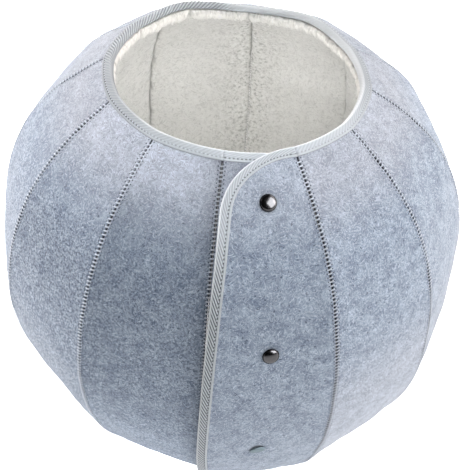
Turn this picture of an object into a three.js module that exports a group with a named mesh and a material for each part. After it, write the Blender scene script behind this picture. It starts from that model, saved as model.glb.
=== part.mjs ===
// Cat tunnel: a soft body of felt gores with a fleece lining, bound mouths and a snap flap.
// Millimetres, +Z up. The body stands on its lower mouth, with the flap toward -Y.
import * as THREE from 'three';
import { mergeVertices } from 'three/addons/utils/BufferGeometryUtils.js';

// Body
const PANEL_COUNT = 12;
const PANEL_ANGLE = (2 * Math.PI) / PANEL_COUNT;
const FLAP_SEAM = THREE.MathUtils.degToRad(-4.9); // opening seam, from -Y toward +X
const ROUNDNESS = 0.35; // 0 keeps the panels flat between seams, 1 makes the body round
const LEAN = 5.8; // sideways shift of the upper mouth
const TILT_SIDE = -5.5; // rise of the upper mouth at +X
const TILT_FRONT = 2.0; // rise of the upper mouth at -Y
const LOWER_SWELL = 0.067; // fuller +X side at the lower mouth

// Cloth
const FELT = 2.4;
const LINING = 2.6;
const TAPE = 0.8;
const GAP = 0.3;
const WALL = FELT + GAP + LINING;
const TAPE_WIDTH = 10;
const TAPE_OUT = GAP + TAPE;
const HEM_FOLD = 2.3; // the lower binding's fold below the hem, so that the flap clears the floor

// Flap and underlap
const FLAP_LIFT = 7.6; // flap over its left neighbour at the free edge
const FLAP_CORNER = 52.5;
const FLAP_INSET = 3.7; // the free edge stays this far right of the opening seam, at the upper end
const FLAP_OVERHANG = 0.053; // share of the panel's width by which the edge drifts left, at the lower end
const UNDERLAP_DROP = 9.5;
const UNDERLAP_CORNER = 40;
const UNDERLAP_END = 0.93; // share of the panel's width that the underlap covers

// Snap caps
const SNAP_RADIUS = 7.5;
const SNAP_HEIGHT = 3.6;
const SNAPS = [
  { name: 'snap_cap_upper', fromRim: 45.2, across: 0.518 },
  { name: 'snap_cap_middle', fromRim: 177.4, across: 0.482 },
  { name: 'snap_cap_lower', fromRim: 309.5, across: 0.444 },
];

// Seam ridge of the upper half, from the widest level to the mouth. The lower half mirrors it.
// The last stretch is straight, so that the binding lies flat on it.
const RIDGE = [
  { height: 0, radius: 230 },
  { height: 35.9, radius: 227.9 },
  { height: 71.3, radius: 221.3 },
  { height: 103.5, radius: 210.4 },
  { height: 132, radius: 195.9 },
  { height: 156, radius: 177.9 },
  { height: 175.7, radius: 158 },
  { height: 190.5, radius: 139.1 },
  { height: 199.8, radius: 125.4 },
  { height: 206.5, radius: 114.3 },
];
const HALF_HEIGHT = RIDGE[RIDGE.length - 1].height;

// Rows run from the lower hem to the upper rim.
const rows = [
  ...RIDGE.slice(1).reverse().map((row) => new THREE.Vector2(row.radius, -row.height)),
  ...RIDGE.map((row) => new THREE.Vector2(row.radius, row.height)),
];
const LAST = rows.length - 1;

function stretch(i) {
  return rows[i + 1].clone().sub(rows[i]);
}

function inwardNormal(direction) {
  return new THREE.Vector2(-direction.y, direction.x).normalize();
}

// Inward offset of each row for 1 mm of depth, mitred between its two stretches
const offsets = rows.map((row, i) => {
  if (i === LAST) return inwardNormal(stretch(LAST - 1));
  if (i === 0) return inwardNormal(stretch(0));
  const before = inwardNormal(stretch(i - 1));
  const after = inwardNormal(stretch(i));
  const middle = before.clone().add(after).normalize();
  return middle.multiplyScalar(1 / middle.dot(after));
});

const arcs = [0];
for (let i = 0; i < LAST; i += 1) arcs.push(arcs[i] + stretch(i).length());
const LENGTH = arcs[LAST];

// The plain gores' hem is cut level, so that the body stands flat on it.
const levelCut = new THREE.Vector2(-stretch(0).length() / stretch(0).y, 0);

function levelHemPoint(s, depth) {
  const hem = rows[0].clone().addScaledVector(levelCut, depth);
  if (s < 0) return hem.addScaledVector(stretch(0), s / stretch(0).y);
  return hem.lerp(rows[1].clone().addScaledVector(offsets[1], depth), s / arcs[1]);
}

// A point of the ridge line: s along the wall from the hem, depth inward from the outer face.
function ridgePoint(s, depth, level) {
  if (level && s < arcs[1]) return levelHemPoint(s, depth);
  let i = 0;
  while (i < LAST - 1 && s > arcs[i + 1]) i += 1;
  const share = (s - arcs[i]) / (arcs[i + 1] - arcs[i]);
  const low = rows[i].clone().addScaledVector(offsets[i], depth);
  const high = rows[i + 1].clone().addScaledVector(offsets[i + 1], depth);
  return low.lerp(high, share);
}

// A point of the wall. across runs from 0 at the panel's first seam to 1 at its second.
function wallPoint(panel, across, s, depth, level = true) {
  const angle = FLAP_SEAM + PANEL_ANGLE * (panel + across);
  const flat = Math.cos(PANEL_ANGLE / 2) / Math.cos(PANEL_ANGLE * (across - 0.5));
  const { x: ridge, y: height } = ridgePoint(s, depth, level);
  const low = THREE.MathUtils.clamp(-height / HALF_HEIGHT, 0, 1);
  const high = THREE.MathUtils.clamp(height / HALF_HEIGHT, 0, 1.1);
  const sin = Math.sin(angle);
  const cos = Math.cos(angle);
  const radius = ridge * ((1 - ROUNDNESS) * flat + ROUNDNESS) * (1 + LOWER_SWELL * low * sin);
  const lean = LEAN * (height + HALF_HEIGHT) / (2 * HALF_HEIGHT);
  const tilt = high * high * (TILT_SIDE * sin + TILT_FRONT * cos);
  return new THREE.Vector3(radius * sin + lean, -radius * cos, height + tilt);
}

// Moves a point round the body, along the rising angle, to part neighbours at a seam.
function shiftRound(point, panel, across, distance) {
  const angle = FLAP_SEAM + PANEL_ANGLE * (panel + across);
  return point.add(new THREE.Vector3(Math.cos(angle), Math.sin(angle), 0).multiplyScalar(distance));
}

function seamWidth(s) {
  return 2 * ridgePoint(s, 0, false).x * Math.sin(PANEL_ANGLE / 2);
}

// The three kinds of panel: where each one lies in the wall, and whether its hem is cut level
const PLAIN = { level: true, depth: () => 0 };
const FLAP = { level: false, depth: (across) => -FLAP_LIFT * (1 - across) };
const UNDERLAP = { level: false, depth: (across) => UNDERLAP_DROP * across };

function sheetPoint(kind, panel, across, s, depth) {
  const point = wallPoint(panel, across, s, depth + kind.depth(across), kind.level);
  if (across <= 0.0001 && kind !== FLAP) shiftRound(point, panel, 0, GAP / 2);
  if (across >= 0.9999) shiftRound(point, panel, 1, -GAP / 2);
  return point;
}

// Section of the folded binding: depth from the outer face, and distance into the cloth from its edge
const BINDING_SECTION = [
  { depth: -TAPE_OUT, into: TAPE_WIDTH },
  { depth: -TAPE_OUT, into: 0 },
  { depth: -GAP, into: -TAPE_OUT },
  { depth: WALL + GAP, into: -TAPE_OUT },
  { depth: WALL + TAPE_OUT, into: 0 },
  { depth: WALL + TAPE_OUT, into: TAPE_WIDTH },
  { depth: WALL + GAP, into: TAPE_WIDTH },
  { depth: WALL + GAP, into: -GAP },
  { depth: -GAP, into: -GAP },
  { depth: -GAP, into: TAPE_WIDTH },
];

function geometryOf(points, index) {
  const geometry = new THREE.BufferGeometry().setFromPoints(points);
  geometry.setIndex(index);
  geometry.computeVertexNormals();
  return geometry;
}

// A closed solid between an outer and an inner grid of points, both [row][column].
// Rows rise and columns run with the angle, so that the outer grid faces out.
function slab(outer, inner) {
  const rowCount = outer.length;
  const columns = outer[0].length;
  const points = [...outer.flat(), ...inner.flat()];
  const front = (i, j) => i * columns + j;
  const back = (i, j) => rowCount * columns + i * columns + j;
  const index = [];
  const quad = (a, b, c, d) => index.push(a, b, c, a, c, d);
  const top = rowCount - 1;
  const end = columns - 1;
  for (let i = 0; i < top; i += 1) {
    for (let j = 0; j < end; j += 1) {
      quad(front(i, j), front(i, j + 1), front(i + 1, j + 1), front(i + 1, j));
      quad(back(i, j), back(i + 1, j), back(i + 1, j + 1), back(i, j + 1));
    }
    quad(front(i, 0), front(i + 1, 0), back(i + 1, 0), back(i, 0));
    quad(front(i, end), back(i, end), back(i + 1, end), front(i + 1, end));
  }
  for (let j = 0; j < end; j += 1) {
    quad(front(0, j), back(0, j), back(0, j + 1), front(0, j + 1));
    quad(front(top, j), front(top, j + 1), back(top, j + 1), back(top, j));
  }
  return geometryOf(points, index);
}

// A closed solid through a list of sections, each a ring of points in the binding section's order.
// reverse turns the faces round where the path runs the other way.
function sweep(sections, reverse) {
  const size = BINDING_SECTION.length;
  const last = (sections.length - 1) * size;
  const index = [];
  const face = (a, b, c) => (reverse ? index.push(a, c, b) : index.push(a, b, c));
  for (let base = 0; base < last; base += size) {
    for (let i = 0; i < size; i += 1) {
      const next = (i + 1) % size;
      face(base + i, base + next, base + size + next);
      face(base + i, base + size + next, base + size + i);
    }
  }
  const ring = BINDING_SECTION.map(({ depth, into }) => new THREE.Vector2(depth, into));
  for (const [a, b, c] of THREE.ShapeUtils.triangulateShape(ring, [])) {
    face(a, c, b);
    face(last + a, last + b, last + c);
  }
  return geometryOf(sections.flat(), index);
}

// Plain gores
const COLUMNS = [0, 1 / 3, 2 / 3, 1];

function plainLayer(panel, depth, thickness) {
  const grid = (d) => arcs.map((s) => COLUMNS.map((across) => sheetPoint(PLAIN, panel, across, s, d)));
  return slab(grid(depth), grid(depth + thickness));
}

// Binding of one mouth, along the plain gores from the flap's seam round to the opening seam
function mouthBinding(edge) {
  const atTop = edge === LENGTH;
  const loose = atTop ? 0 : HEM_FOLD - TAPE_OUT;
  const sections = [];
  for (let panel = 1; panel < PANEL_COUNT; panel += 1) {
    for (const across of panel === 1 ? COLUMNS : COLUMNS.slice(1)) {
      const atStart = panel === 1 && across === 0;
      const atEnd = panel === PANEL_COUNT - 1 && across === 1;
      sections.push(BINDING_SECTION.map(({ depth, into }) => {
        const reach = into < 0 ? into - loose : into;
        const point = wallPoint(panel, across, atTop ? edge - reach : edge + reach, depth);
        if (atStart) shiftRound(point, panel, 0, GAP / 2);
        if (atEnd) shiftRound(point, panel, 1, -GAP / 2);
        return point;
      }));
    }
  }
  return sweep(sections, atTop);
}

// Free edge of an end panel, from the hem to the rim: both corners are rounded, and between them the
// edge runs down the panel. x is measured from the opening seam, and inX, inS point into the cloth.
const CORNER_STEPS = 10;

function freeEdge({ side, corner, centre, straight }) {
  const arc = [];
  for (let k = 0; k <= CORNER_STEPS; k += 1) {
    const turn = (k / CORNER_STEPS) * (Math.PI / 2);
    arc.push({
      x: centre + side * corner * Math.sin(turn),
      from: corner * (1 - Math.cos(turn)),
      inX: -side * Math.sin(turn),
      inS: Math.cos(turn),
    });
  }
  const lower = arc.map(({ x, from, inX, inS }) => ({ x, s: from, inX, inS }));
  const upper = arc.map(({ x, from, inX, inS }) => ({ x, s: LENGTH - from, inX, inS: -inS })).reverse();
  const between = arcs.filter((s) => s > corner + 9 && s < LENGTH - corner - 9);
  return [...lower, ...between.map((s) => ({ x: straight(s), s, inX: -side, inS: 0 })), ...upper];
}

// The flap's free edge drifts left past the opening seam toward its lower end.
const DRIFT_FROM = 95;
const DRIFT_TO = 310;

function flapDrift(s) {
  return FLAP_OVERHANG * THREE.MathUtils.clamp((LENGTH - s - DRIFT_FROM) / (DRIFT_TO - DRIFT_FROM), 0, 1);
}

const flapAcross = (x, s) => (x + FLAP_INSET) / seamWidth(s) - flapDrift(s);
const underlapAcross = (x, s) => x / seamWidth(s);
const flapEdge = freeEdge({ side: -1, corner: FLAP_CORNER, centre: FLAP_CORNER, straight: () => 0 });
const underlapEdge = freeEdge({
  side: 1,
  corner: UNDERLAP_CORNER,
  centre: UNDERLAP_END * seamWidth(LENGTH - UNDERLAP_CORNER) - UNDERLAP_CORNER,
  straight: (s) => UNDERLAP_END * seamWidth(s),
});

const FLAP_COLUMNS = [0, 0.16, 0.55, 1];

function flapLayer(depth, thickness) {
  const grid = (d) => flapEdge.map(({ x, s }) => {
    const start = flapAcross(x, s);
    return FLAP_COLUMNS.map((share) => sheetPoint(FLAP, 0, start + (1 - start) * share, s, d));
  });
  return slab(grid(depth), grid(depth + thickness));
}

function underlapLayer(depth, thickness) {
  const grid = (d) => underlapEdge.map(({ x, s }) => {
    const end = underlapAcross(x, s);
    return FLAP_COLUMNS.map((share) => sheetPoint(UNDERLAP, 0, end * (1 - share), s, d)).reverse();
  });
  return slab(grid(depth), grid(depth + thickness));
}

// Binding of an end panel, from its sewn seam at the hem, along the free edge, to its seam at the rim
function endBinding(kind, edge, acrossOf, seam) {
  const straightPart = ({ x, s }, way) => {
    const start = acrossOf(x, s);
    return FLAP_COLUMNS.slice(1).map((share) => BINDING_SECTION.map(({ depth, into }) =>
      sheetPoint(kind, 0, start + (seam - start) * share, s + way * into, depth)));
  };
  const along = edge.map(({ x, s, inX, inS }) => BINDING_SECTION.map(({ depth, into }) => {
    const at = s + inS * into;
    return sheetPoint(kind, 0, acrossOf(x + inX * into, at), at, depth);
  }));
  const lower = straightPart(edge[0], 1).reverse();
  const upper = straightPart(edge[edge.length - 1], -1);
  return sweep([...lower, ...along, ...upper], seam === 1);
}

// Domed snap cap, turned about its axis, with a flat back and a rolled rim
function snapCap() {
  const profile = [
    [0, 0],
    [SNAP_RADIUS - 0.8, 0],
    [SNAP_RADIUS, 0.5],
    [SNAP_RADIUS, 1.1],
    [SNAP_RADIUS - 0.6, 1.9],
    [SNAP_RADIUS * 0.68, SNAP_HEIGHT - 0.7],
    [SNAP_RADIUS * 0.36, SNAP_HEIGHT - 0.15],
    [0, SNAP_HEIGHT],
  ].map(([radius, height]) => new THREE.Vector2(radius, height));
  const geometry = new THREE.LatheGeometry(profile, 24);
  geometry.deleteAttribute('normal');
  geometry.deleteAttribute('uv');
  const closed = mergeVertices(geometry, 0.001);
  closed.computeVertexNormals();
  return closed;
}

function seatOnFlap(mesh, fromRim, across) {
  const s = LENGTH - fromRim;
  const reach = SNAP_RADIUS / seamWidth(s);
  const alongWall = sheetPoint(FLAP, 0, across, s + SNAP_RADIUS, 0).sub(sheetPoint(FLAP, 0, across, s - SNAP_RADIUS, 0));
  const alongWidth = sheetPoint(FLAP, 0, across + reach, s, 0).sub(sheetPoint(FLAP, 0, across - reach, s, 0));
  const normal = alongWidth.cross(alongWall).normalize();
  mesh.position.copy(sheetPoint(FLAP, 0, across, s, 0)).addScaledVector(normal, GAP);
  mesh.quaternion.setFromUnitVectors(new THREE.Vector3(0, 1, 0), normal);
}

// Assembly
const felt = new THREE.MeshStandardMaterial({ color: 0x9fb0c6, roughness: 0.95, metalness: 0 });
const fleece = new THREE.MeshStandardMaterial({ color: 0xd9d6cc, roughness: 1, metalness: 0 });
const twill = new THREE.MeshStandardMaterial({ color: 0xcfcfca, roughness: 0.85, metalness: 0 });
const nickel = new THREE.MeshStandardMaterial({ color: 0x6f7278, roughness: 0.25, metalness: 1 });

const body = new THREE.Group();

function add(name, geometry, material) {
  const mesh = new THREE.Mesh(geometry, material);
  mesh.name = name;
  body.add(mesh);
  return mesh;
}

const INNER = FELT + GAP;
for (let panel = 1; panel < PANEL_COUNT; panel += 1) {
  const number = String(panel).padStart(2, '0');
  add(`felt_gore_${number}`, plainLayer(panel, 0, FELT), felt);
  add(`lining_gore_${number}`, plainLayer(panel, INNER, LINING), fleece);
}
add('felt_flap', flapLayer(0, FELT), felt);
add('lining_flap', flapLayer(INNER, LINING), fleece);
add('felt_underlap', underlapLayer(0, FELT), felt);
add('lining_underlap', underlapLayer(INNER, LINING), fleece);
add('binding_top', mouthBinding(LENGTH), twill);
add('binding_bottom', mouthBinding(0), twill);
add('binding_flap', endBinding(FLAP, flapEdge, flapAcross, 1), twill);
add('binding_underlap', endBinding(UNDERLAP, underlapEdge, underlapAcross, 0), twill);
for (const { name, fromRim, across } of SNAPS) {
  seatOnFlap(add(name, snapCap(), nickel), fromRim, across);
}

// The origin is the middle of the footprint, on the floor.
body.updateMatrixWorld(true);
const box = new THREE.Box3().setFromObject(body, true);
const middle = box.getCenter(new THREE.Vector3());
body.position.set(-middle.x, -middle.y, -box.min.z);

const tunnel = new THREE.Group();
tunnel.add(body);

export default tunnel;
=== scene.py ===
# %% [markdown]
# A cat tunnel in felt
# This lesson dresses a soft cat tunnel: a ball of twelve felt panels with a mouth above and below,
# a fleece lining, taped edges, and a snap flap down the front. The CAD solids already give the size
# and the place of every piece. Here each piece is made again as cloth, in metres and in the same frame.

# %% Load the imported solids
import math
from collections import namedtuple

import bpy
import numpy as np
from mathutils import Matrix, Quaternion, Vector


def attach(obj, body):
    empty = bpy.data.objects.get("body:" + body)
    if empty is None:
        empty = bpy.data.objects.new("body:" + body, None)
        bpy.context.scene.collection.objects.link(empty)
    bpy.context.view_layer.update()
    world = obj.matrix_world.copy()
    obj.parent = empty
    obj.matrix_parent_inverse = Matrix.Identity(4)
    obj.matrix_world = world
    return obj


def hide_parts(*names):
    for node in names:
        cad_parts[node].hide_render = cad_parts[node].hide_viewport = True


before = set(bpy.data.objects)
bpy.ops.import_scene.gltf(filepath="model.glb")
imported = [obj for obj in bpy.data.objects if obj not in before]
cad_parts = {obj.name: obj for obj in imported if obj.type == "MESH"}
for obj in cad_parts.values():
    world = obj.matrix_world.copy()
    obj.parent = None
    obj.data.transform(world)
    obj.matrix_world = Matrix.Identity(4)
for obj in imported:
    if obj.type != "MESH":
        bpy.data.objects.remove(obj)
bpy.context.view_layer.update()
print("CAD nodes:", len(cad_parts))

# %% [markdown]
# The wall as a formula
# A sewn ball is a seam line repeated round an axis, with cloth spanned between two seams. It could be
# modelled by hand from a sphere, but the solids use a formula, and cloth that repeats the formula lands
# where the solids are. A place on the wall is named as a sewer would name it: which panel, how far across
# it, how far up from the hem, and how deep below the outer face. Panel 0 is the flap, and the panels and
# seams are counted on from the opening beside it. Panel 12 is the underlap, which lies under the flap.

# %% Sizes of the body
MM = 0.001
PANELS = 12
PANEL_ANGLE = 2 * math.pi / PANELS
OPENING_SEAM = math.radians(-4.9)  # direction of the opening, counted from the front
BODY_PLACE = np.array([-2.919, 4.400, 208.8]) * MM  # middle of the body
# Each row of the seam line: height above the middle and distance from the axis, in millimetres.
SEAM_RIDGE = [
    (0, 230), (35.9, 227.9), (71.3, 221.3), (103.5, 210.4), (132, 195.9),
    (156, 177.9), (175.7, 158), (190.5, 139.1), (199.8, 125.4), (206.5, 114.3),
]
HALF_HEIGHT = SEAM_RIDGE[-1][0] * MM
lower_half = [(radius, -height) for height, radius in SEAM_RIDGE[:0:-1]]
upper_half = [(radius, height) for height, radius in SEAM_RIDGE]
RIDGE_POINTS = np.array(lower_half + upper_half) * MM
RIDGE_STEPS = np.linalg.norm(np.diff(RIDGE_POINTS, axis=0), axis=1)
RIDGE_ARCS = np.concatenate([[0], np.cumsum(RIDGE_STEPS)])
WALL_LENGTH = RIDGE_ARCS[-1]
print("from hem to rim along a seam:", round(WALL_LENGTH, 4), "m")

# %% [markdown]
# The solids join the points of the seam line with straight stretches, which keeps their face count low.
# Cloth has no such corners, so a cubic curve is run through the same points. Its slope at each point
# is the weighted mean of the two stretches that meet there, which keeps the curve from overshooting.

# %% Smooth seam line
def ridge_slopes():
    stretch = np.diff(RIDGE_POINTS, axis=0) / RIDGE_STEPS[:, None]
    before = RIDGE_STEPS[:-1, None]
    after = RIDGE_STEPS[1:, None]
    inner = (stretch[:-1] * after + stretch[1:] * before) / (before + after)
    return np.vstack([stretch[:1], inner, stretch[-1:]])


RIDGE_SLOPES = ridge_slopes()


def ridge_curve(up):
    """Point (radius, height) and unit direction of the seam line, up metres from the hem."""
    held = np.clip(up, 0, WALL_LENGTH)
    i = np.clip(np.searchsorted(RIDGE_ARCS, held, side="right") - 1, 0, len(RIDGE_STEPS) - 1)
    step = RIDGE_STEPS[i][..., None]
    t = ((held - RIDGE_ARCS[i]) / RIDGE_STEPS[i])[..., None]
    start = RIDGE_POINTS[i]
    end = RIDGE_POINTS[i + 1]
    leave = RIDGE_SLOPES[i] * step
    arrive = RIDGE_SLOPES[i + 1] * step
    point = (2 * t**3 - 3 * t**2 + 1) * start + (t**3 - 2 * t**2 + t) * leave
    point = point + (3 * t**2 - 2 * t**3) * end + (t**3 - t**2) * arrive
    slope = (6 * t**2 - 6 * t) * (start - end)
    slope = slope + (3 * t**2 - 4 * t + 1) * leave + (3 * t**2 - 2 * t) * arrive
    direction = slope / np.linalg.norm(slope, axis=-1, keepdims=True)
    return point + direction * (up - held)[..., None], direction


def panel_width(up):
    """Straight distance between the two seams of a panel."""
    radius = ridge_curve(np.asarray(up, float))[0][..., 0]
    return 2 * radius * math.sin(PANEL_ANGLE / 2)


print("panel width at the belly:", round(float(panel_width(WALL_LENGTH / 2)), 4), "m")

# %% [markdown]
# Depth is measured square to the wall, and it grows inward. At the hem of the plain panels the cut is
# level instead, because the whole tunnel stands on that edge. The two end panels, the flap and the
# underlap, keep a square cut.

# %% Section of the wall
HEM_SLOPE = RIDGE_SLOPES[0]
LEVEL_CUT = np.array([-1 / HEM_SLOPE[1], 0.0])


def smooth_step(value, low, high):
    """0 up to low, 1 from high on, and a soft rise between them."""
    share = np.clip((value - low) / (high - low), 0, 1)
    return share * share * (3 - 2 * share)


def wall_section(up, depth, level):
    """Radius and height of a place in the wall's section."""
    up, depth = np.broadcast_arrays(np.asarray(up, float), np.asarray(depth, float))
    point, direction = ridge_curve(up)
    inward = np.stack([-direction[..., 1], direction[..., 0]], -1)
    if level:
        share = np.clip(up / RIDGE_ARCS[1], 0, 1)[..., None]
        inward = LEVEL_CUT * (1 - share) + inward * share
        below = np.minimum(up, 0)[..., None]
        point = point - HEM_SLOPE * below + HEM_SLOPE / HEM_SLOPE[1] * below
    return point + inward * depth[..., None]


print("hem at radius and height:", np.round(wall_section(0, 0, True), 4))

# %% [markdown]
# Round the axis, a panel bows out between its seams, though less than a full arc would, because stretched
# cloth stays a little flat. Near the rim the tape pulls it rounder. Soft cloth never stands quite true
# either: the upper mouth leans and tilts, the lower part is fuller on one side, the far rim sags unevenly
# and the foot of the flap swells. A sculpt brush could do this, but smooth bumps in the formula move
# felt, fleece, tape and thread together, so nothing comes apart.

# %% Places round the body
ROUNDNESS = 0.35  # 0 is flat from seam to seam, 1 is a full arc
RIM_ROUNDNESS = 0.45  # added toward the rim
RIM_REACH = 75 * MM
LEAN = 5.8 * MM
TILT_SIDE = -5.5 * MM
TILT_FRONT = 2.0 * MM
TILT_POWER = 2
SAG_POWER = 6
RIM_OVERRUN = 1.1  # the fold of the tape stands a little above the rim
LOWER_SWELL = 0.067
# Each bump: direction and half width in degrees, and height.
RIM_BUMPS = [(138, 20, 3.2 * MM), (176, 27, -5.4 * MM), (212, 18, 2.4 * MM)]
FOOT_BUMPS = [(14, 20, 4.0 * MM), (24, 7, 3.0 * MM)]
FOOT_MIDDLE = 85 * MM
FOOT_HALF = 75 * MM


def bump(value):
    """1 at 0, falling softly to 0 at -1 and at 1."""
    return np.cos(math.pi / 2 * np.clip(value, -1, 1)) ** 2


def bumps_round(angle, bumps):
    """Sum of bumps at a direction round the body."""
    total = 0.0
    for centre, half, height in bumps:
        away = (np.degrees(angle) - centre + 180) % 360 - 180
        total = total + height * bump(away / half)
    return total


def wall_place(panel, across, up, depth, level=True):
    """Points of the wall in the part's frame. across runs from 0 to 1 over the panel."""
    section = wall_section(up, depth, level)
    across = np.asarray(across, float)
    up = np.asarray(up, float)
    ridge = section[..., 0]
    height = section[..., 1]
    angle = OPENING_SEAM + PANEL_ANGLE * (panel + across)
    sine = np.sin(angle)
    cosine = np.cos(angle)
    low = np.clip(-height / HALF_HEIGHT, 0, 1)
    high = np.clip(height / HALF_HEIGHT, 0, RIM_OVERRUN)
    flat = math.cos(PANEL_ANGLE / 2) / np.cos(PANEL_ANGLE * (across - 0.5))
    arc_share = ROUNDNESS + RIM_ROUNDNESS * smooth_step(up, WALL_LENGTH - RIM_REACH, WALL_LENGTH)
    radius = ridge * ((1 - arc_share) * flat + arc_share) * (1 + LOWER_SWELL * low * sine)
    radius = radius + bumps_round(angle, FOOT_BUMPS) * bump((up - FOOT_MIDDLE) / FOOT_HALF)
    lean = LEAN * (height + HALF_HEIGHT) / (2 * HALF_HEIGHT)
    tilt = high**TILT_POWER * (TILT_SIDE * sine + TILT_FRONT * cosine)
    sag = high**SAG_POWER * bumps_round(angle, RIM_BUMPS)
    return np.stack([radius * sine + lean, -radius * cosine, height + (tilt + sag)], -1) + BODY_PLACE


far_rim = wall_place(PANELS // 2, 0.0, WALL_LENGTH, 0.0)
print("far rim at", np.round(far_rim, 4))

# %% [markdown]
# The flap lifts off the wall toward its free edge, to lie over its neighbour, and the underlap drops behind
# it. Both are the same wall with a depth that changes across the panel.

# %% Places on the end panels
FLAP_LIFT = 7.6 * MM
UNDERLAP_DROP = 9.5 * MM


def plain_place(panel, across, up, depth):
    return wall_place(panel, across, up, depth, True)


def flap_place(panel, across, up, depth):
    return wall_place(panel, across, up, depth - FLAP_LIFT * (1 - np.asarray(across)), False)


def underlap_place(panel, across, up, depth):
    return wall_place(panel, across, up, depth + UNDERLAP_DROP * np.asarray(across), False)


print("flap lift and underlap drop:", FLAP_LIFT, UNDERLAP_DROP)

# %% [markdown]
# The camera
# The tunnel is seen from in front and from well above, so that the fleece shows through the upper mouth.
# A long lens from a little over a metre keeps the near and far rims close in size. The body sits slightly
# left of the middle of the picture, so the lens is shifted by the few pixels that this takes, and the
# camera is rolled because the picture isn't quite level.

# %% Camera
CAMERA_RISE = math.radians(44.897)
CAMERA_DISTANCE = 1.15207
CAMERA_ROLL = math.radians(1.668)
LENS_MM = 86.08
SENSOR_MM = 36
SHIFT_SIDE = 0.0191
SHIFT_UP = -0.0031
NEAREST_SEEN = 0.05

lens = bpy.data.cameras.new("view_lens")
lens.lens = LENS_MM
lens.sensor_width = SENSOR_MM
lens.shift_x = SHIFT_SIDE
lens.shift_y = SHIFT_UP
lens.clip_start = NEAREST_SEEN
camera = bpy.data.objects.new("view_camera", lens)
bpy.context.scene.collection.objects.link(camera)
back = Vector((0, -math.cos(CAMERA_RISE), math.sin(CAMERA_RISE)))
look = (-back).to_track_quat("-Z", "Y") @ Quaternion((0, 0, 1), CAMERA_ROLL)
camera.rotation_mode = "QUATERNION"
camera.rotation_quaternion = look
camera.location = Vector(BODY_PLACE) + back * CAMERA_DISTANCE
bpy.context.scene.camera = camera
print("camera at", [round(x, 3) for x in camera.location])

# %% [markdown]
# Light
# Felt is easiest to read in soft light from the sides. Wide, slightly warm lamps stand right, left and
# behind, a larger one hangs above, and little comes from the camera's side, so the front panels fall into
# a mild shade. In such light the mouth would be a dark hole, so three small lamps look into it and a weak
# one lies inside. The card is seen in gloss alone: it hardly touches the cloth, and the snap caps mirror it.

# %% Lamps
bpy.context.scene.view_settings.view_transform = "Standard"

WHITE = (1.0, 1.0, 1.0)
WARM = (1.08, 1.0, 0.95)
BELLY = (0.0, 0.0, 0.2)
GLOSS_ONLY = "lamp_card"
# Each lamp: name, place, aim, width and height, watts, spread in degrees, tint, and whether gloss shows it.
LAMPS = [
    ("lamp_above", (0.0, 0.25, 2.0), BELLY, (1.5, 1.5), 14.0, 180, WHITE, False),
    ("lamp_right", (1.8, 0.0, 0.9), BELLY, (1.2, 1.4), 23.0, 180, WARM, True),
    ("lamp_right_front", (1.15, -1.0, 1.45), (0.0, -0.2, 0.3), (0.9, 1.1), 2.0, 180, WHITE, True),
    ("lamp_front", (0.0, -1.45, 1.75), BELLY, (1.0, 0.8), 6.7, 180, WHITE, False),
    ("lamp_back_right", (1.3, 1.4, 0.95), BELLY, (1.0, 1.0), 23.0, 180, WARM, True),
    ("lamp_back_left", (-1.3, 1.4, 0.95), BELLY, (1.0, 1.0), 23.5, 180, WARM, True),
    ("lamp_left_side", (-1.75, 0.75, 0.95), BELLY, (1.0, 1.0), 32.5, 180, WARM, True),
    (GLOSS_ONLY, (1.28, -0.56, 1.30), (0.03, -0.15, 0.36), (1.9, 1.6), 90.0, 180, WHITE, True),
    ("lamp_mouth_inside", (0.0, 0.0, 0.12), (0.0, 0.0, 1.0), (0.12, 0.12), 0.325, 180, WHITE, False),
    ("lamp_mouth_high", (0.05, -0.95, 1.75), (0.0, 0.0, 0.4), (0.25, 0.25), 0.03, 16, WHITE, False),
    ("lamp_mouth_left", (-0.65, -1.2, 1.2), (0.06, 0.04, 0.4), (0.3, 0.3), 0.062, 13, WHITE, False),
    ("lamp_mouth_right", (0.65, -1.2, 1.2), (-0.06, 0.04, 0.4), (0.3, 0.3), 0.056, 13, WHITE, False),
]


def hang_lamp(name, place, aim, size, watts, spread, tint, in_gloss):
    lamp = bpy.data.lights.new(name, "AREA")
    lamp.shape = "RECTANGLE"
    lamp.size, lamp.size_y = size
    lamp.energy = watts
    lamp.color = tint
    lamp.spread = math.radians(spread)
    holder = bpy.data.objects.new(name, lamp)
    holder.location = place
    holder.rotation_mode = "QUATERNION"
    holder.rotation_quaternion = (Vector(aim) - Vector(place)).to_track_quat("-Z", "Y")
    holder.visible_camera = False
    holder.visible_glossy = in_gloss
    holder.visible_diffuse = name != GLOSS_ONLY
    bpy.context.scene.collection.objects.link(holder)


for lamp_facts in LAMPS:
    hang_lamp(*lamp_facts)
print("lamps:", len(LAMPS))

# %% [markdown]
# The floor is a pale studio sheet that glows a little, as one lit from all sides does, and it throws light
# back under the belly. A much larger set of lamps could light it instead. What the camera sees of it is
# brighter than what it throws on the cloth, so it stays clean white while the belly keeps its shade.

# %% Surrounding light and floor
SURROUND = 0.02
FLOOR_HALF = 20.0
FLOOR_TONE = (0.86, 0.86, 0.86, 1)
FLOOR_ROUGHNESS = 0.9
FLOOR_GLOW = 0.77
FLOOR_SHOWN = 1.3

surround = bpy.data.worlds.new("studio_surround")
surround.use_nodes = True
surround.node_tree.nodes["Background"].inputs["Color"].default_value = (*WHITE, 1)
surround.node_tree.nodes["Background"].inputs["Strength"].default_value = SURROUND
bpy.context.scene.world = surround

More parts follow.
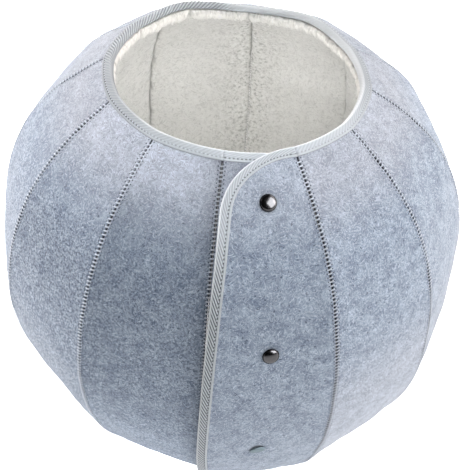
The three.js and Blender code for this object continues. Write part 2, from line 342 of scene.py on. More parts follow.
corners = [(x * FLOOR_HALF, y * FLOOR_HALF, 0) for x, y in ((-1, -1), (1, -1), (1, 1), (-1, 1))]
floor_mesh = bpy.data.meshes.new("studio_floor")
floor_mesh.from_pydata(corners, [], [(0, 1, 2, 3)])
floor = bpy.data.objects.new("studio_floor", floor_mesh)
bpy.context.scene.collection.objects.link(floor)
pale = bpy.data.materials.new("studio_paper")
pale.use_nodes = True
paper = pale.node_tree.nodes["Principled BSDF"]
paper.inputs["Base Color"].default_value = FLOOR_TONE
paper.inputs["Roughness"].default_value = FLOOR_ROUGHNESS
paper.inputs["Emission Color"].default_value = (*WHITE, 1)
seen = pale.node_tree.nodes.new("ShaderNodeLightPath")
glow = pale.node_tree.nodes.new("ShaderNodeMath")
glow.operation = "MULTIPLY_ADD"
glow.inputs[1].default_value = FLOOR_SHOWN - FLOOR_GLOW
glow.inputs[2].default_value = FLOOR_GLOW
pale.node_tree.links.new(seen.outputs["Is Camera Ray"], glow.inputs[0])
pale.node_tree.links.new(glow.outputs[0], paper.inputs["Emission Strength"])
floor_mesh.materials.append(pale)
print("floor:", 2 * FLOOR_HALF, "m wide")

# %% [markdown]
# Shared shader groups
# Two effects come back in several finishes. Felt and fleece are both a tangle of loose fibres, seen as
# clouds of tone, short strokes and a few dark flecks. Twill tape and plied thread both show slanted ridges.
# Each effect is built once as a node group, and each finish sets its own scale. The groups read places
# that are stored on the cloth, so the fibres lie in the flat sheet and not across the room. A few short
# helpers come first, because adding and linking nodes by hand takes many lines.

# %% Node helpers
def feed(tree, socket, value):
    """Gives a socket a number or a colour, or links another socket to it."""
    if isinstance(value, (int, float)):
        socket.default_value = value
    elif isinstance(value, tuple):
        socket.default_value = (*value, 1)
    else:
        tree.links.new(value, socket)


def math_node(tree, operation, *values):
    node = tree.nodes.new("ShaderNodeMath")
    node.operation = operation
    for socket, value in zip(node.inputs, values):
        feed(tree, socket, value)
    return node.outputs[0]


def map_range(tree, value, low, high, to_low=0.0, to_high=1.0):
    """Soft rise from to_low to to_high while the value goes from low to high."""
    node = tree.nodes.new("ShaderNodeMapRange")
    node.interpolation_type = "SMOOTHSTEP"
    limits = {"Value": value, "From Min": low, "From Max": high, "To Min": to_low, "To Max": to_high}
    for label, limit in limits.items():
        feed(tree, node.inputs[label], limit)
    return node.outputs["Result"]


def noise(tree, place, scale, detail, roughness=0.5, distortion=0.0):
    node = tree.nodes.new("ShaderNodeTexNoise")
    settings = {"Scale": scale, "Detail": detail, "Roughness": roughness, "Distortion": distortion}
    for label, value in settings.items():
        feed(tree, node.inputs[label], value)
    tree.links.new(place, node.inputs["Vector"])
    return node.outputs["Fac"]


print("node helpers ready")

# %% Colour helpers
def mix_colours(tree, factor, first, second):
    node = tree.nodes.new("ShaderNodeMix")
    node.data_type = "RGBA"
    factor_socket, first_socket, second_socket = node.inputs[0], node.inputs[6], node.inputs[7]
    feed(tree, factor_socket, factor)
    feed(tree, first_socket, first)
    feed(tree, second_socket, second)
    return node.outputs[2]


def lay_over(tree, tone, mask, strength, colour):
    """Lays a colour over a tone where the mask is up."""
    return mix_colours(tree, math_node(tree, "MULTIPLY", mask, strength), tone, colour)


def scale_colour(tree, colour, amount):
    node = tree.nodes.new("ShaderNodeVectorMath")
    node.operation = "SCALE"
    feed(tree, node.inputs[0], colour)
    feed(tree, node.inputs["Scale"], amount)
    return node.outputs[0]


print("colour helpers ready")

# %% Stored values and groups
def stored_value(tree, label):
    """A number that the mesh stores at each point."""
    node = tree.nodes.new("ShaderNodeAttribute")
    node.attribute_name = label
    return node.outputs["Fac"]


def stored_vector(tree, label):
    node = tree.nodes.new("ShaderNodeAttribute")
    node.attribute_name = label
    return node.outputs["Vector"]


def stored_parts(tree, label):
    """The three numbers of a stored vector."""
    node = tree.nodes.new("ShaderNodeSeparateXYZ")
    tree.links.new(stored_vector(tree, label), node.inputs[0])
    return node.outputs


def new_group(name, inputs, outputs):
    """An empty group. inputs maps a label to a default number, or to None for a place."""
    group = bpy.data.node_groups.new(name, "ShaderNodeTree")
    for label, value in inputs.items():
        kind = "NodeSocketVector" if value is None else "NodeSocketFloat"
        socket = group.interface.new_socket(label, in_out="INPUT", socket_type=kind)
        if value is not None:
            socket.default_value = value
    for label in outputs:
        group.interface.new_socket(label, in_out="OUTPUT", socket_type="NodeSocketFloat")
    given = group.nodes.new("NodeGroupInput").outputs
    result = group.nodes.new("NodeGroupOutput").inputs
    return group, given, result


def place_group(tree, group, **values):
    """Places a group in a finish. A value is a number or a socket, under the input's name."""
    node = tree.nodes.new("ShaderNodeGroup")
    node.node_tree = group
    for label, value in values.items():
        feed(tree, node.inputs[label.replace("_", " ")], value)
    return node.outputs


print("group helpers ready")

# %% [markdown]
# Loose fibres are three lays of drawn-out noise, each in its own direction, on a place that swirls a little.
# The highest lay at a point is a pale stroke on top, and where all three are low a gap shows between the
# fibres. Real strands would be truer, but a panel would need millions of them.

# %% Loose fibres group
FIBRE_DRAW = (0.3, 1.0, 1.0)
LAY_ANGLES = (15, 75, 135)
SWIRLS_PER_METRE = 70.0
SWIRL_REACH = 12 * MM
CLOUD_BAND = (0.28, 0.72)
STROKE_BAND = (0.53, 0.74)
GAP_BAND = (0.27, 0.46)
FLECK_BAND = (0.60, 0.72)


def fibre_lay(group, place, per_metre, angle):
    """One lay of fibres: noise that is drawn out along one direction in the cloth."""
    turned = group.nodes.new("ShaderNodeVectorRotate")
    turned.rotation_type = "Z_AXIS"
    turned.inputs["Angle"].default_value = math.radians(angle)
    group.links.new(place, turned.inputs["Vector"])
    drawn = group.nodes.new("ShaderNodeVectorMath")
    drawn.operation = "MULTIPLY"
    drawn.inputs[1].default_value = FIBRE_DRAW
    group.links.new(turned.outputs["Vector"], drawn.inputs[0])
    return noise(group, drawn.outputs[0], per_metre, detail=2.0, roughness=0.6)


def swirled(group, place):
    """The place, pushed about in the sheet so that fibres bend."""
    swirl = group.nodes.new("ShaderNodeTexNoise")
    swirl.inputs["Scale"].default_value = SWIRLS_PER_METRE
    swirl.inputs["Detail"].default_value = 1.0
    group.links.new(place, swirl.inputs["Vector"])
    bent = group.nodes.new("ShaderNodeVectorMath")
    bent.operation = "MULTIPLY_ADD"
    bent.inputs[1].default_value = (SWIRL_REACH, SWIRL_REACH, 0.0)
    group.links.new(swirl.outputs["Color"], bent.inputs[0])
    group.links.new(place, bent.inputs[2])
    return bent.outputs[0]


def build_loose_fibres():
    group, given, result = new_group(
        "loose_fibres",
        {"Place": None, "Clouds per metre": 90.0, "Fibres per metre": 550.0, "Flecks per metre": 520.0},
        ["Clouds", "Strokes", "Gaps", "Flecks", "Nap"],
    )
    place = given["Place"]
    bent = swirled(group, place)
    lays = [fibre_lay(group, bent, given["Fibres per metre"], angle) for angle in LAY_ANGLES]
    top = math_node(group, "MAXIMUM", math_node(group, "MAXIMUM", lays[0], lays[1]), lays[2])
    low = math_node(group, "MINIMUM", math_node(group, "MINIMUM", lays[0], lays[1]), lays[2])
    clouds = noise(group, place, given["Clouds per metre"], detail=3.0, roughness=0.6, distortion=0.4)
    flecks = noise(group, place, given["Flecks per metre"], detail=1.5, distortion=1.2)
    group.links.new(map_range(group, clouds, *CLOUD_BAND), result["Clouds"])
    group.links.new(map_range(group, top, *STROKE_BAND), result["Strokes"])
    group.links.new(map_range(group, low, *GAP_BAND, 1.0, 0.0), result["Gaps"])
    group.links.new(map_range(group, flecks, *FLECK_BAND), result["Flecks"])
    group.links.new(math_node(group, "ADD", top, low), result["Nap"])
    return group


LOOSE_FIBRES = build_loose_fibres()
print("group:", LOOSE_FIBRES.name)

# %% [markdown]
# Slanted ridges are a sine wave across a strip. The strip's own length and girth go in, so the ridges keep
# their slant when the tape turns a corner or the thread bends.

# %% Slanted ridges group
RIDGE_BAND = (-0.9, 0.7)


def build_slanted_ridges():
    group, given, result = new_group(
        "slanted_ridges", {"Along": 0.0, "Girth": 0.0, "Pitch": 0.002, "Slant": 0.52}, ["Ridge"])
    drop = math_node(group, "MULTIPLY", given["Along"], math_node(group, "SINE", given["Slant"]))
    rise = math_node(group, "MULTIPLY", given["Girth"], math_node(group, "COSINE", given["Slant"]))
    turns = math_node(group, "DIVIDE", math_node(group, "SUBTRACT", rise, drop), given["Pitch"])
    wave = math_node(group, "SINE", math_node(group, "MULTIPLY", turns, 2 * math.pi))
    group.links.new(map_range(group, wave, *RIDGE_BAND), result["Ridge"])
    return group


SLANTED_RIDGES = build_slanted_ridges()
print("group:", SLANTED_RIDGES.name)

# %% [markdown]
# Felt
# The shell is a needled felt of pale, middle and blue-grey fibres. A weave pattern would be wrong for it,
# since felt has no threads. Two cloudy tones are mixed by the fibre group, with gaps, strokes and dark
# flecks laid over them. Each panel also stores how much dark heather is carded in, and a pale fuzz that is
# partly pale fibre and partly painted sheen. Its tone also carries painted light and shade. In the seam
# grooves, where two raw edges meet, the tone sinks into painted shade, and beside them the small needle
# holes are painted dark as shade. A soft sheen stands for the fuzz on the outline.

# %% Finish helpers
CLOTH_SPECULAR = 0.1


def start_finish(name, roughness, sheen=0.0, sheen_roughness=0.5):
    material = bpy.data.materials.new(name)
    material.use_nodes = True
    shader = material.node_tree.nodes["Principled BSDF"]
    shader.inputs["Roughness"].default_value = roughness
    shader.inputs["Sheen Weight"].default_value = sheen
    shader.inputs["Sheen Roughness"].default_value = sheen_roughness
    shader.inputs["Specular IOR Level"].default_value = CLOTH_SPECULAR
    return material, material.node_tree, shader


def raise_surface(tree, shader, height, strength, distance):
    relief = tree.nodes.new("ShaderNodeBump")
    relief.inputs["Strength"].default_value = strength
    relief.inputs["Distance"].default_value = distance
    tree.links.new(height, relief.inputs["Height"])
    tree.links.new(relief.outputs["Normal"], shader.inputs["Normal"])


def near_line(tree, value, line, half):
    """1 on a line, 0 from half on."""
    away = math_node(tree, "ABSOLUTE", math_node(tree, "SUBTRACT", value, line))
    return map_range(tree, away, half / 2, half, 1.0, 0.0)


def near_stitch(tree, along, pitch, share):
    """1 in the middle of each stitch of a row, 0 from a share of the pitch away."""
    turn = math_node(tree, "FRACT", math_node(tree, "DIVIDE", along, pitch))
    return near_line(tree, turn, 0.5, share)


def fibre_tone(tree, fibres, deep, light, layers):
    """Clouds of two tones with the fibre group's layers laid over them."""
    tone = mix_colours(tree, fibres["Clouds"], deep, light)
    for mask, strength, colour in layers:
        tone = lay_over(tree, tone, fibres[mask], strength, colour)
    return tone


print("finish helpers ready")

# %% Felt finish
FELT_DEEP = (0.191, 0.240, 0.323)
FELT_LIGHT = (0.352, 0.421, 0.517)
# Each layer of fibre: the group's mask, its strength and its colour.
FELT_LAYERS = [
    ("Gaps", 0.7, (0.087, 0.117, 0.173)),
    ("Strokes", 0.75, (0.613, 0.692, 0.800)),
    ("Flecks", 0.8, (0.059, 0.079, 0.121)),
]
HEATHER_TONE = (0.075, 0.098, 0.145)
HEATHER_PER_METRE = 430.0
HEATHER_BAND = (0.46, 0.62)
HEATHER_STRENGTH = 0.95
# A pale fuzz: partly pale fibre, partly painted sheen where the light is bright.
FUZZ_AND_SHEEN_TONE = (0.450, 0.428, 0.437)
# Painted shade: the seam groove sinks to this near black.
GROOVE_SHADE_TONE = (0.016, 0.019, 0.027)
# Painted shade in the needle holes.
NEEDLE_HOLE_SHADE = (0.05, 0.06, 0.08)
NEEDLE_STRENGTH = 0.8
NEEDLE_HALF = 0.8 * MM
NEEDLE_SHARE = 0.22
BAR_PITCH = 3.6 * MM
BAR_HALF = 2.6 * MM
NEEDLE_LINE = BAR_HALF + 0.2 * MM


def dark_heather(tree, cloth):
    """Clusters of dark fibre, as strong as the panel stores."""
    clusters = noise(tree, cloth, HEATHER_PER_METRE, detail=2.0, roughness=0.6)
    clusters = map_range(tree, clusters, *HEATHER_BAND, 0.0, HEATHER_STRENGTH)
    return math_node(tree, "MULTIPLY", clusters, stored_value(tree, "heather"))


def needle_holes(tree):
    """Painted shade in the holes where the bars of a seam dive into the felt."""
    beside, along, _ = stored_parts(tree, "needle")
    line = near_line(tree, beside, NEEDLE_LINE, NEEDLE_HALF)
    return math_node(tree, "MULTIPLY", line, near_stitch(tree, along, BAR_PITCH, NEEDLE_SHARE))


def build_felt():
    material, tree, shader = start_finish("heather_felt", roughness=0.95, sheen=0.25, sheen_roughness=0.4)
    cloth = stored_vector(tree, "cloth")
    fibres = place_group(
        tree, LOOSE_FIBRES, Place=cloth,
        Clouds_per_metre=85.0, Fibres_per_metre=900.0, Flecks_per_metre=480.0)
    tone = fibre_tone(tree, fibres, FELT_DEEP, FELT_LIGHT, FELT_LAYERS)
    tone = mix_colours(tree, dark_heather(tree, cloth), tone, HEATHER_TONE)
    # Pale fuzz, partly pale fibre and partly painted sheen.
    tone = mix_colours(tree, stored_value(tree, "fuzz_and_sheen"), tone, FUZZ_AND_SHEEN_TONE)
    # The stored tone lifts the fibre between dark heather and carries painted light and shade.
    tone = scale_colour(tree, tone, stored_value(tree, "tone_and_painted_light"))
    # The seam groove and the needle holes are painted in shade.
    tone = mix_colours(tree, stored_value(tree, "seam"), tone, GROOVE_SHADE_TONE)
    tone = lay_over(tree, tone, needle_holes(tree), NEEDLE_STRENGTH, NEEDLE_HOLE_SHADE)
    tree.links.new(tone, shader.inputs["Base Color"])
    raise_surface(tree, shader, fibres["Nap"], strength=0.55, distance=0.9 * MM)
    return material


FELT_FINISH = build_felt()
print("finish:", FELT_FINISH.name)

# %% [markdown]
# Fleece
# The lining is a thick cream fleece with a short, dense pile. Particle hair could make it, but that is heavy
# and doesn't travel with the part, so the pile is modelled as a lumpy skin, and the fibre group gives the
# grain. Beside a seam the pile is puckered, with painted shade in the dimples and a painted highlight on the
# pale crests, and the seam itself is a soft line of painted shade that the pile covers here and there. The
# fleece's tone also carries painted light and shade.

# %% Fleece finish
FLEECE_DEEP = (0.80, 0.795, 0.765)
FLEECE_LIGHT = (0.86, 0.855, 0.825)
FLEECE_LAYERS = [
    ("Gaps", 0.55, (0.50, 0.495, 0.47)),
    ("Strokes", 0.7, (0.875, 0.87, 0.845)),
    ("Flecks", 0.3, (0.48, 0.475, 0.45)),
]
CURLS_PER_METRE = 270.0
CURL_RELIEF = 1.5
# Limits of the noise, and what they give.
DIMPLE_RANGE = (0.33, 0.47, 0.75, 0.0)
CREST_RANGE = (0.54, 0.68, 0.0, 0.8)
SEAM_RANGE = (0.15, 0.85, 0.45, 0.95)
# Painted shade in the dimples, a painted highlight on the crests, and painted shade along the seam.
DIMPLE_SHADE_TONE = (0.40, 0.395, 0.37)
CREST_HIGHLIGHT_TONE = (0.97, 0.965, 0.95)
SEAM_SHADE_TONE = (0.27, 0.262, 0.245)


def build_fleece():
    material, tree, shader = start_finish("cream_fleece", roughness=1.0, sheen=0.35, sheen_roughness=0.6)
    cloth = stored_vector(tree, "cloth")
    fibres = place_group(
        tree, LOOSE_FIBRES, Place=cloth,
        Clouds_per_metre=45.0, Fibres_per_metre=560.0, Flecks_per_metre=330.0)
    tone = fibre_tone(tree, fibres, FLEECE_DEEP, FLEECE_LIGHT, FLEECE_LAYERS)
    curl = noise(tree, cloth, CURLS_PER_METRE, detail=2.0, roughness=0.6)
    pucker = stored_value(tree, "pucker")
    dimple = math_node(tree, "MULTIPLY", pucker, map_range(tree, curl, *DIMPLE_RANGE))
    tone = mix_colours(tree, dimple, tone, DIMPLE_SHADE_TONE)
    crest = math_node(tree, "MULTIPLY", pucker, map_range(tree, curl, *CREST_RANGE))
    tone = mix_colours(tree, crest, tone, CREST_HIGHLIGHT_TONE)
    broken = map_range(tree, fibres["Clouds"], *SEAM_RANGE)
    seam = math_node(tree, "MULTIPLY", stored_value(tree, "seam"), broken)
    tone = mix_colours(tree, seam, tone, SEAM_SHADE_TONE)
    # The stored tone is painted light and shade.
    tone = scale_colour(tree, tone, stored_value(tree, "tone_and_painted_light"))
    tree.links.new(tone, shader.inputs["Base Color"])
    curled = math_node(tree, "MULTIPLY", pucker, curl)
    height = math_node(tree, "MULTIPLY_ADD", curled, CURL_RELIEF, fibres["Nap"])
    raise_surface(tree, shader, height, strength=0.7, distance=1.8 * MM)
    return material


FLEECE_FINISH = build_fleece()
print("finish:", FLEECE_FINISH.name)

# %% [markdown]
# Twill tape and thread
# The edges are bound with a folded twill tape, whose slanted ribs are two to three millimetres apart. Each
# tape mesh stores how far along and how far round its section every point is, so the ribs follow the tape
# round corners. It also stores how strong the ribs are, in relief and in the painted shade of their valleys,
# how bright the painted highlight on the fold is, a tone of painted light and shade, how dark the painted
# shade of the stitch line is, and the pitch and slant of the weave, because a tape that is pulled round a
# mouth shows other ribs than a straight one. The stitch line is a groove of painted shade with a row of small
# holes painted dark as shade, and the reverse is painted dark as the shadow at the tape's edges. The thread
# uses the same ridge group with a finer pitch.

# %% Tape finish
TAPE_WIDTH = 8 * MM
STITCH_PITCH = 3.4 * MM
STITCH_INSET = 2.4 * MM
STITCH_HALF = 0.8 * MM
STITCH_SHARE = 0.30
LINE_STRENGTH = 0.35
RIB_MEAN = 0.66  # tone of tape with no ribs, between valley and crest
WOVEN_EDGE = (1.4 * MM, 2.0 * MM)  # the ribs begin inside the tape's firm edge
FOLD_BAND = (TAPE_WIDTH - 0.8 * MM, TAPE_WIDTH + 0.6 * MM)
REVERSE_BAND = (-0.6 * MM, -0.1 * MM)  # the reverse is stored with an inset below 0
# Painted shade in the rib valleys, a painted highlight on the fold, painted shade in the stitch groove and
# its holes, and a dark reverse as painted shadow.
VALLEY_SHADE_TONE = (0.172, 0.193, 0.217)
RIB_TONE = (0.615, 0.667, 0.715)
FOLD_HIGHLIGHT_TONE = (0.77, 0.81, 0.85)
STITCH_GROOVE_SHADE = (0.12, 0.13, 0.14)
STITCH_HOLE_SHADE = (0.03, 0.03, 0.036)
REVERSE_SHADOW_TONE = (0.27, 0.29, 0.33)


def ridges_along(tree, pitch, slant):
    """Slanted ridges on a tape or a thread, with the place along it and the inset from its edge."""
    along, girth, inset = stored_parts(tree, "tape")
    ridges = place_group(tree, SLANTED_RIDGES, Along=along, Girth=girth, Pitch=pitch, Slant=slant)
    return ridges["Ridge"], along, inset


def build_tape():
    material, tree, shader = start_finish("twill_tape", roughness=0.8, sheen=0.1)
    pitch, slant, mark = stored_parts(tree, "weave")
    ridge, along, inset = ridges_along(tree, pitch, slant)
    rib = math_node(tree, "MULTIPLY", stored_value(tree, "rib"), map_range(tree, inset, *WOVEN_EDGE))
    relief = math_node(tree, "MULTIPLY_ADD", math_node(tree, "SUBTRACT", ridge, RIB_MEAN), rib, RIB_MEAN)
    # Painted shade in the rib valleys.
    tone = mix_colours(tree, relief, VALLEY_SHADE_TONE, RIB_TONE)
    # Painted highlight on the fold.
    fold = math_node(tree, "MULTIPLY", map_range(tree, inset, *FOLD_BAND), stored_value(tree, "fold"))
    tone = mix_colours(tree, fold, tone, FOLD_HIGHLIGHT_TONE)
    # Painted shade in the stitch groove and its holes.
    line = math_node(tree, "MULTIPLY", near_line(tree, inset, STITCH_INSET, STITCH_HALF), mark)
    tone = lay_over(tree, tone, line, LINE_STRENGTH, STITCH_GROOVE_SHADE)
    hole = math_node(tree, "MULTIPLY", line, near_stitch(tree, along, STITCH_PITCH, STITCH_SHARE))
    tone = mix_colours(tree, hole, tone, STITCH_HOLE_SHADE)
    # The stored tone is painted light and shade.
    tone = scale_colour(tree, tone, stored_value(tree, "tone_and_painted_light"))
    # The reverse is painted dark, as the shadow at the tape's edges.
    tone = mix_colours(tree, map_range(tree, inset, *REVERSE_BAND, 1.0, 0.0), tone, REVERSE_SHADOW_TONE)
    tree.links.new(tone, shader.inputs["Base Color"])
    raise_surface(tree, shader, relief, strength=1.0, distance=0.8 * MM)
    return material


TAPE_FINISH = build_tape()
print("finish:", TAPE_FINISH.name)

# %% Thread finish
TWIST_PITCH = 0.7 * MM
TWIST_SLANT = math.radians(40)
TWIST_TONE = (0.43, 0.475, 0.545)
PLY_TONE = (0.70, 0.75, 0.83)


def build_thread():
    material, tree, shader = start_finish("sewing_thread", roughness=0.7, sheen=0.1)
    ridge, _, _ = ridges_along(tree, TWIST_PITCH, TWIST_SLANT)
    tone = mix_colours(tree, ridge, TWIST_TONE, PLY_TONE)
    # The stored tone is painted light and shade.
    tone = scale_colour(tree, tone, stored_value(tree, "tone_and_painted_light"))
    tree.links.new(tone, shader.inputs["Base Color"])
    raise_surface(tree, shader, ridge, strength=0.4, distance=0.1 * MM)
    return material


THREAD_FINISH = build_thread()
print("finish:", THREAD_FINISH.name)

# %% [markdown]
# Snap metal
# The snap caps are pressed steel with a dark nickel plate. The plate mirrors the lamps, so the form reads
# from a bright side and a dark side, and the rolled rim is painted near black as a painted shadow. Faint
# cloudy wear in the roughness keeps it from looking like glass. A cap can be stored as dull: then it is
# rougher and takes a cool grey, a painted reflection, and its stored tone lifts it further.

# %% Snap finish
WEAR_PER_METRE = 900.0
WEAR_ROUGHNESS = (0.3, 0.7, 0.14, 0.26)
PLATE_DEEP = (0.06, 0.06, 0.064)
PLATE_LIGHT = (0.095, 0.095, 0.10)
RIM_SHADOW_TONE = (0.012, 0.012, 0.014)
DULL_REFLECTION_TONE = (0.098, 0.146, 0.168)


def build_snap_metal():
    material, tree, shader = start_finish("dark_nickel", roughness=0.2)
    shader.inputs["Metallic"].default_value = 1.0
    spot = tree.nodes.new("ShaderNodeTexCoord").outputs["Object"]
    wear = noise(tree, spot, WEAR_PER_METRE, detail=3.0, roughness=0.6)
    dull = stored_value(tree, "dull")
    tone = mix_colours(tree, wear, PLATE_DEEP, PLATE_LIGHT)
    # Painted shadow on the rolled rim.
    tone = mix_colours(tree, stored_value(tree, "roll"), tone, RIM_SHADOW_TONE)
    # Painted reflection: a dull cap takes a cool grey.
    tone = mix_colours(tree, dull, tone, DULL_REFLECTION_TONE)
    # The stored tone lifts a cap as painted reflection.
    tone = scale_colour(tree, tone, stored_value(tree, "tone_and_painted_light"))
    tree.links.new(tone, shader.inputs["Base Color"])
    rough = math_node(tree, "ADD", map_range(tree, wear, *WEAR_ROUGHNESS), dull)
    tree.links.new(rough, shader.inputs["Roughness"])
    return material


SNAP_FINISH = build_snap_metal()
print("finish:", SNAP_FINISH.name)

# %% [markdown]
# From grids to pieces
# A cut panel is two grids of points, an outer face and an inner one, closed round its edge. A plane with a
# solidify modifier would come close, but here the two faces differ. Building the mesh from arrays is quick
# and gives even quads, and extra values such as the place on the flat cloth are stored per point. Small
# unevenness comes from a sum of seeded waves, so each run gives the same cloth.

# %% Mesh helpers
def add_piece(name, points, faces, finish, values, node=None):
    """A piece that rides on the one body. values are stored per point, and node is its solid."""
    mesh = bpy.data.meshes.new(name)
    mesh.from_pydata(points.reshape(-1, 3).tolist(), [], faces)
    for label, numbers in values.items():
        numbers = np.asarray(numbers, np.float32)
        is_vector = numbers.ndim == 2
        attribute = mesh.attributes.new(label, "FLOAT_VECTOR" if is_vector else "FLOAT", "POINT")
        attribute.data.foreach_set("vector" if is_vector else "value", numbers.ravel())
    mesh.polygons.foreach_set("use_smooth", [True] * len(mesh.polygons))
    mesh.materials.append(finish)
    mesh.validate()
    piece = bpy.data.objects.new(name, mesh)
    bpy.context.scene.collection.objects.link(piece)
    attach(piece, "root")
    if node:
        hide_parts(node)
    return piece


def quads(a, b, c, d):
    """Faces from four equal arrays of point numbers."""
    return np.stack([a.ravel(), b.ravel(), c.ravel(), d.ravel()], -1)


def slab_faces(rows, columns):
    """Quads of a closed sheet: the outer grid's points first, then the inner grid's."""
    front = np.arange(rows * columns).reshape(rows, columns)
    rear = front + rows * columns
    return np.concatenate([
        quads(front[:-1, :-1], front[:-1, 1:], front[1:, 1:], front[1:, :-1]),
        quads(rear[:-1, :-1], rear[1:, :-1], rear[1:, 1:], rear[:-1, 1:]),
        quads(front[:-1, 0], front[1:, 0], rear[1:, 0], rear[:-1, 0]),
        quads(front[:-1, -1], rear[:-1, -1], rear[1:, -1], front[1:, -1]),
        quads(front[0, :-1], rear[0, :-1], rear[0, 1:], front[0, 1:]),
        quads(front[-1, :-1], front[-1, 1:], rear[-1, 1:], rear[-1, :-1]),
    ]).tolist()


def both_faces(outer, inner):
    """Values of the outer grid and then of the inner grid, one row per point."""
    parts = outer.shape[2:]
    return np.concatenate([outer.reshape(-1, *parts), inner.reshape(-1, *parts)])


print("mesh helpers ready")

# %% Soft waves
WAVE_COUNT = 22
PACE_SPREAD = (0.7, 1.4)


def soft_waves(x, y, wavelength, seed):
    """A smooth random field with about unit spread."""
    dice = np.random.default_rng(seed)
    turn = dice.uniform(0, 2 * math.pi, WAVE_COUNT)
    pace = 2 * math.pi / wavelength * dice.uniform(*PACE_SPREAD, WAVE_COUNT)
    start = dice.uniform(0, 2 * math.pi, WAVE_COUNT)
    field = np.zeros(np.broadcast(x, y).shape)
    for k in range(WAVE_COUNT):
        field = field + np.cos(pace[k] * (x * math.cos(turn[k]) + y * math.sin(turn[k])) + start[k])
    return field * math.sqrt(2 / WAVE_COUNT)


def wave_sum(x, y, waves, number):
    """Sum of soft waves. Each has a height, a wavelength and a first seed, and number tells panels apart."""
    total = 0.0
    for height, wavelength, seed in waves:
        total = total + height * soft_waves(x, y, wavelength, seed + number)
    return total


print("waves in each field:", WAVE_COUNT)

# %% [markdown]
# Felt panels
# Each panel is a single layer of felt about two and a half millimetres thick. Along a seam the two raw edges
# butt together and are pulled down by the stitches, so the outer face rolls into a groove. The seams beside
# the flap gape a little wider. The rows of the grid are four millimetres apart, and its columns crowd toward
# the seams, where the roll needs them.

# %% Grid of a plain panel
FELT_ROW = 4 * MM
FELT_COLUMNS = 14
# Distances from a seam at which columns lie.
EDGE_STEPS = np.array([0.12, 0.4, 0.75, 1.15, 1.6, 2.2, 3.1, 4.6]) * MM
# Rows run up the wall and columns across it. beside is the distance to the nearer sewn seam.
Grid = namedtuple("Grid", "up across beside")


def spread_columns(width, first_steps, last_steps, middle_columns):
    """Columns that crowd toward both seams, for a column of panel widths."""
    middle = EDGE_STEPS[-1] / width
    inner = np.linspace(0, 1, middle_columns + 2)[None, 1:-1]
    return np.hstack([
        first_steps / width,
        middle + (1 - 2 * middle) * inner,
        1 - last_steps[::-1] / width,
    ])


def gore_grid():
    up = np.linspace(0, WALL_LENGTH, int(round(WALL_LENGTH / FELT_ROW)) + 1)[:, None]
    width = panel_width(up)
    across = spread_columns(width, EDGE_STEPS, EDGE_STEPS, FELT_COLUMNS)
    return Grid(np.broadcast_to(up, across.shape), across, np.minimum(across, 1 - across) * width)


print("rows and columns:", gore_grid().across.shape)

# %% Relief of the felt
GROOVE_DEPTH = 1.7 * MM
GROOVE_HALF = 0.8 * MM
GROOVE_POWER = 2.5
GROOVE_CLEAR = 12 * MM
WIDE_GROOVES = {0: 1.05 * MM, 1: 1.15 * MM}
UNEVEN_CLEAR = 20 * MM
FADE_FROM = 0.6  # share of the clear distance at which a fade begins
# Each wave: height, wavelength and first seed.
FELT_WAVES = [(0.30 * MM, 60 * MM, 100), (0.16 * MM, 19 * MM, 200)]


def by_seam(table, usual, panel, across):
    """Each point takes the value of its nearer seam, from a table by seam number."""
    first = table.get(panel % PANELS, usual)
    last = table.get((panel + 1) % PANELS, usual)
    return np.where(across < 0.5, first, last)


def end_fade(up, clear):
    """0 under the bindings at hem and rim, and 1 from clear metres on."""
    near = np.minimum(up, WALL_LENGTH - up)
    return smooth_step(near, FADE_FROM * clear, clear)


def seam_groove(panel, grid):
    """1 on a seam, falling to 0 beside it."""
    half = by_seam(WIDE_GROOVES, GROOVE_HALF, panel, grid.across)
    return np.exp(-np.power(np.maximum(grid.beside, 0) / half, GROOVE_POWER))


def felt_depth(panel, grid, groove, free):
    """Depth of the outer face below its nominal place. free is 0 under the tape of a free edge."""
    uneven = wave_sum(grid.across * panel_width(grid.up), grid.up, FELT_WAVES, panel)
    sunk = GROOVE_DEPTH * groove * end_fade(grid.up, GROOVE_CLEAR)
    return uneven * end_fade(grid.up, UNEVEN_CLEAR) * free + sunk


print("groove depth:", GROOVE_DEPTH, "m")

# %% [markdown]
# Tones, light and shade of the panels
# Some panels are painted a little darker or paler as a whole, as light and shade, others are painted paler
# toward the rim or the hem where light falls, and a few hold painted shade round the belly. Some hold more
# dark heather, and toward the rim, and on a few panels toward the hem, a pale fuzz that is partly pale fibre
# and partly painted sheen dulls the blue. The panel beside the flap also holds a painted shadow where the
# flap stands over it. Painting this by hand would need a texture per panel, so short tables by panel give
# the amounts, and soft fades by distance below the rim place them. What isn't in a table has the usual
# amount.

# %% Tones by panel
# Painted light and shade: whole panels a little darker or paler, paler toward the rim and the hem, darker
# round the belly.
PAINTED_PANEL_LIGHT = {1: 1.06, 2: 0.95, 4: 0.88, 5: 0.86, 6: 0.88, 7: 0.87, 10: 1.04, 11: 0.86}
PAINTED_RIM_LIGHT = {0: 0.1, 1: 0.07, 2: 0.15, 3: 0.0, 8: 0.0, 10: 0.2, 11: 0.56}
USUAL_RIM_LIGHT = 0.04
RIM_FADE = (20 * MM, 85 * MM)
PAINTED_BELLY_SHADE = {0: -0.04, 10: -0.13, 11: -0.05}
BELLY_MIDDLE = 140 * MM
BELLY_HALF = 45 * MM
# Tone toward the hem, and where below the rim it starts and is full.
PAINTED_HEM_LIGHT = {1: (0.09, 170 * MM, 260 * MM), 11: (0.18, 240 * MM, 340 * MM)}
NO_HEM_LIGHT = (0.0, 0.0, WALL_LENGTH)
HEATHER = {3: 0.2, 4: 0.55, 5: 0.55, 6: 0.55, 7: 0.55, 8: 0.6, 9: 0.8, 10: 0.8, 11: 0.55}
HEATHER_FADE = (60 * MM, 130 * MM)
HEATHER_LIFT = 0.16  # the fibre between dark heather is paler
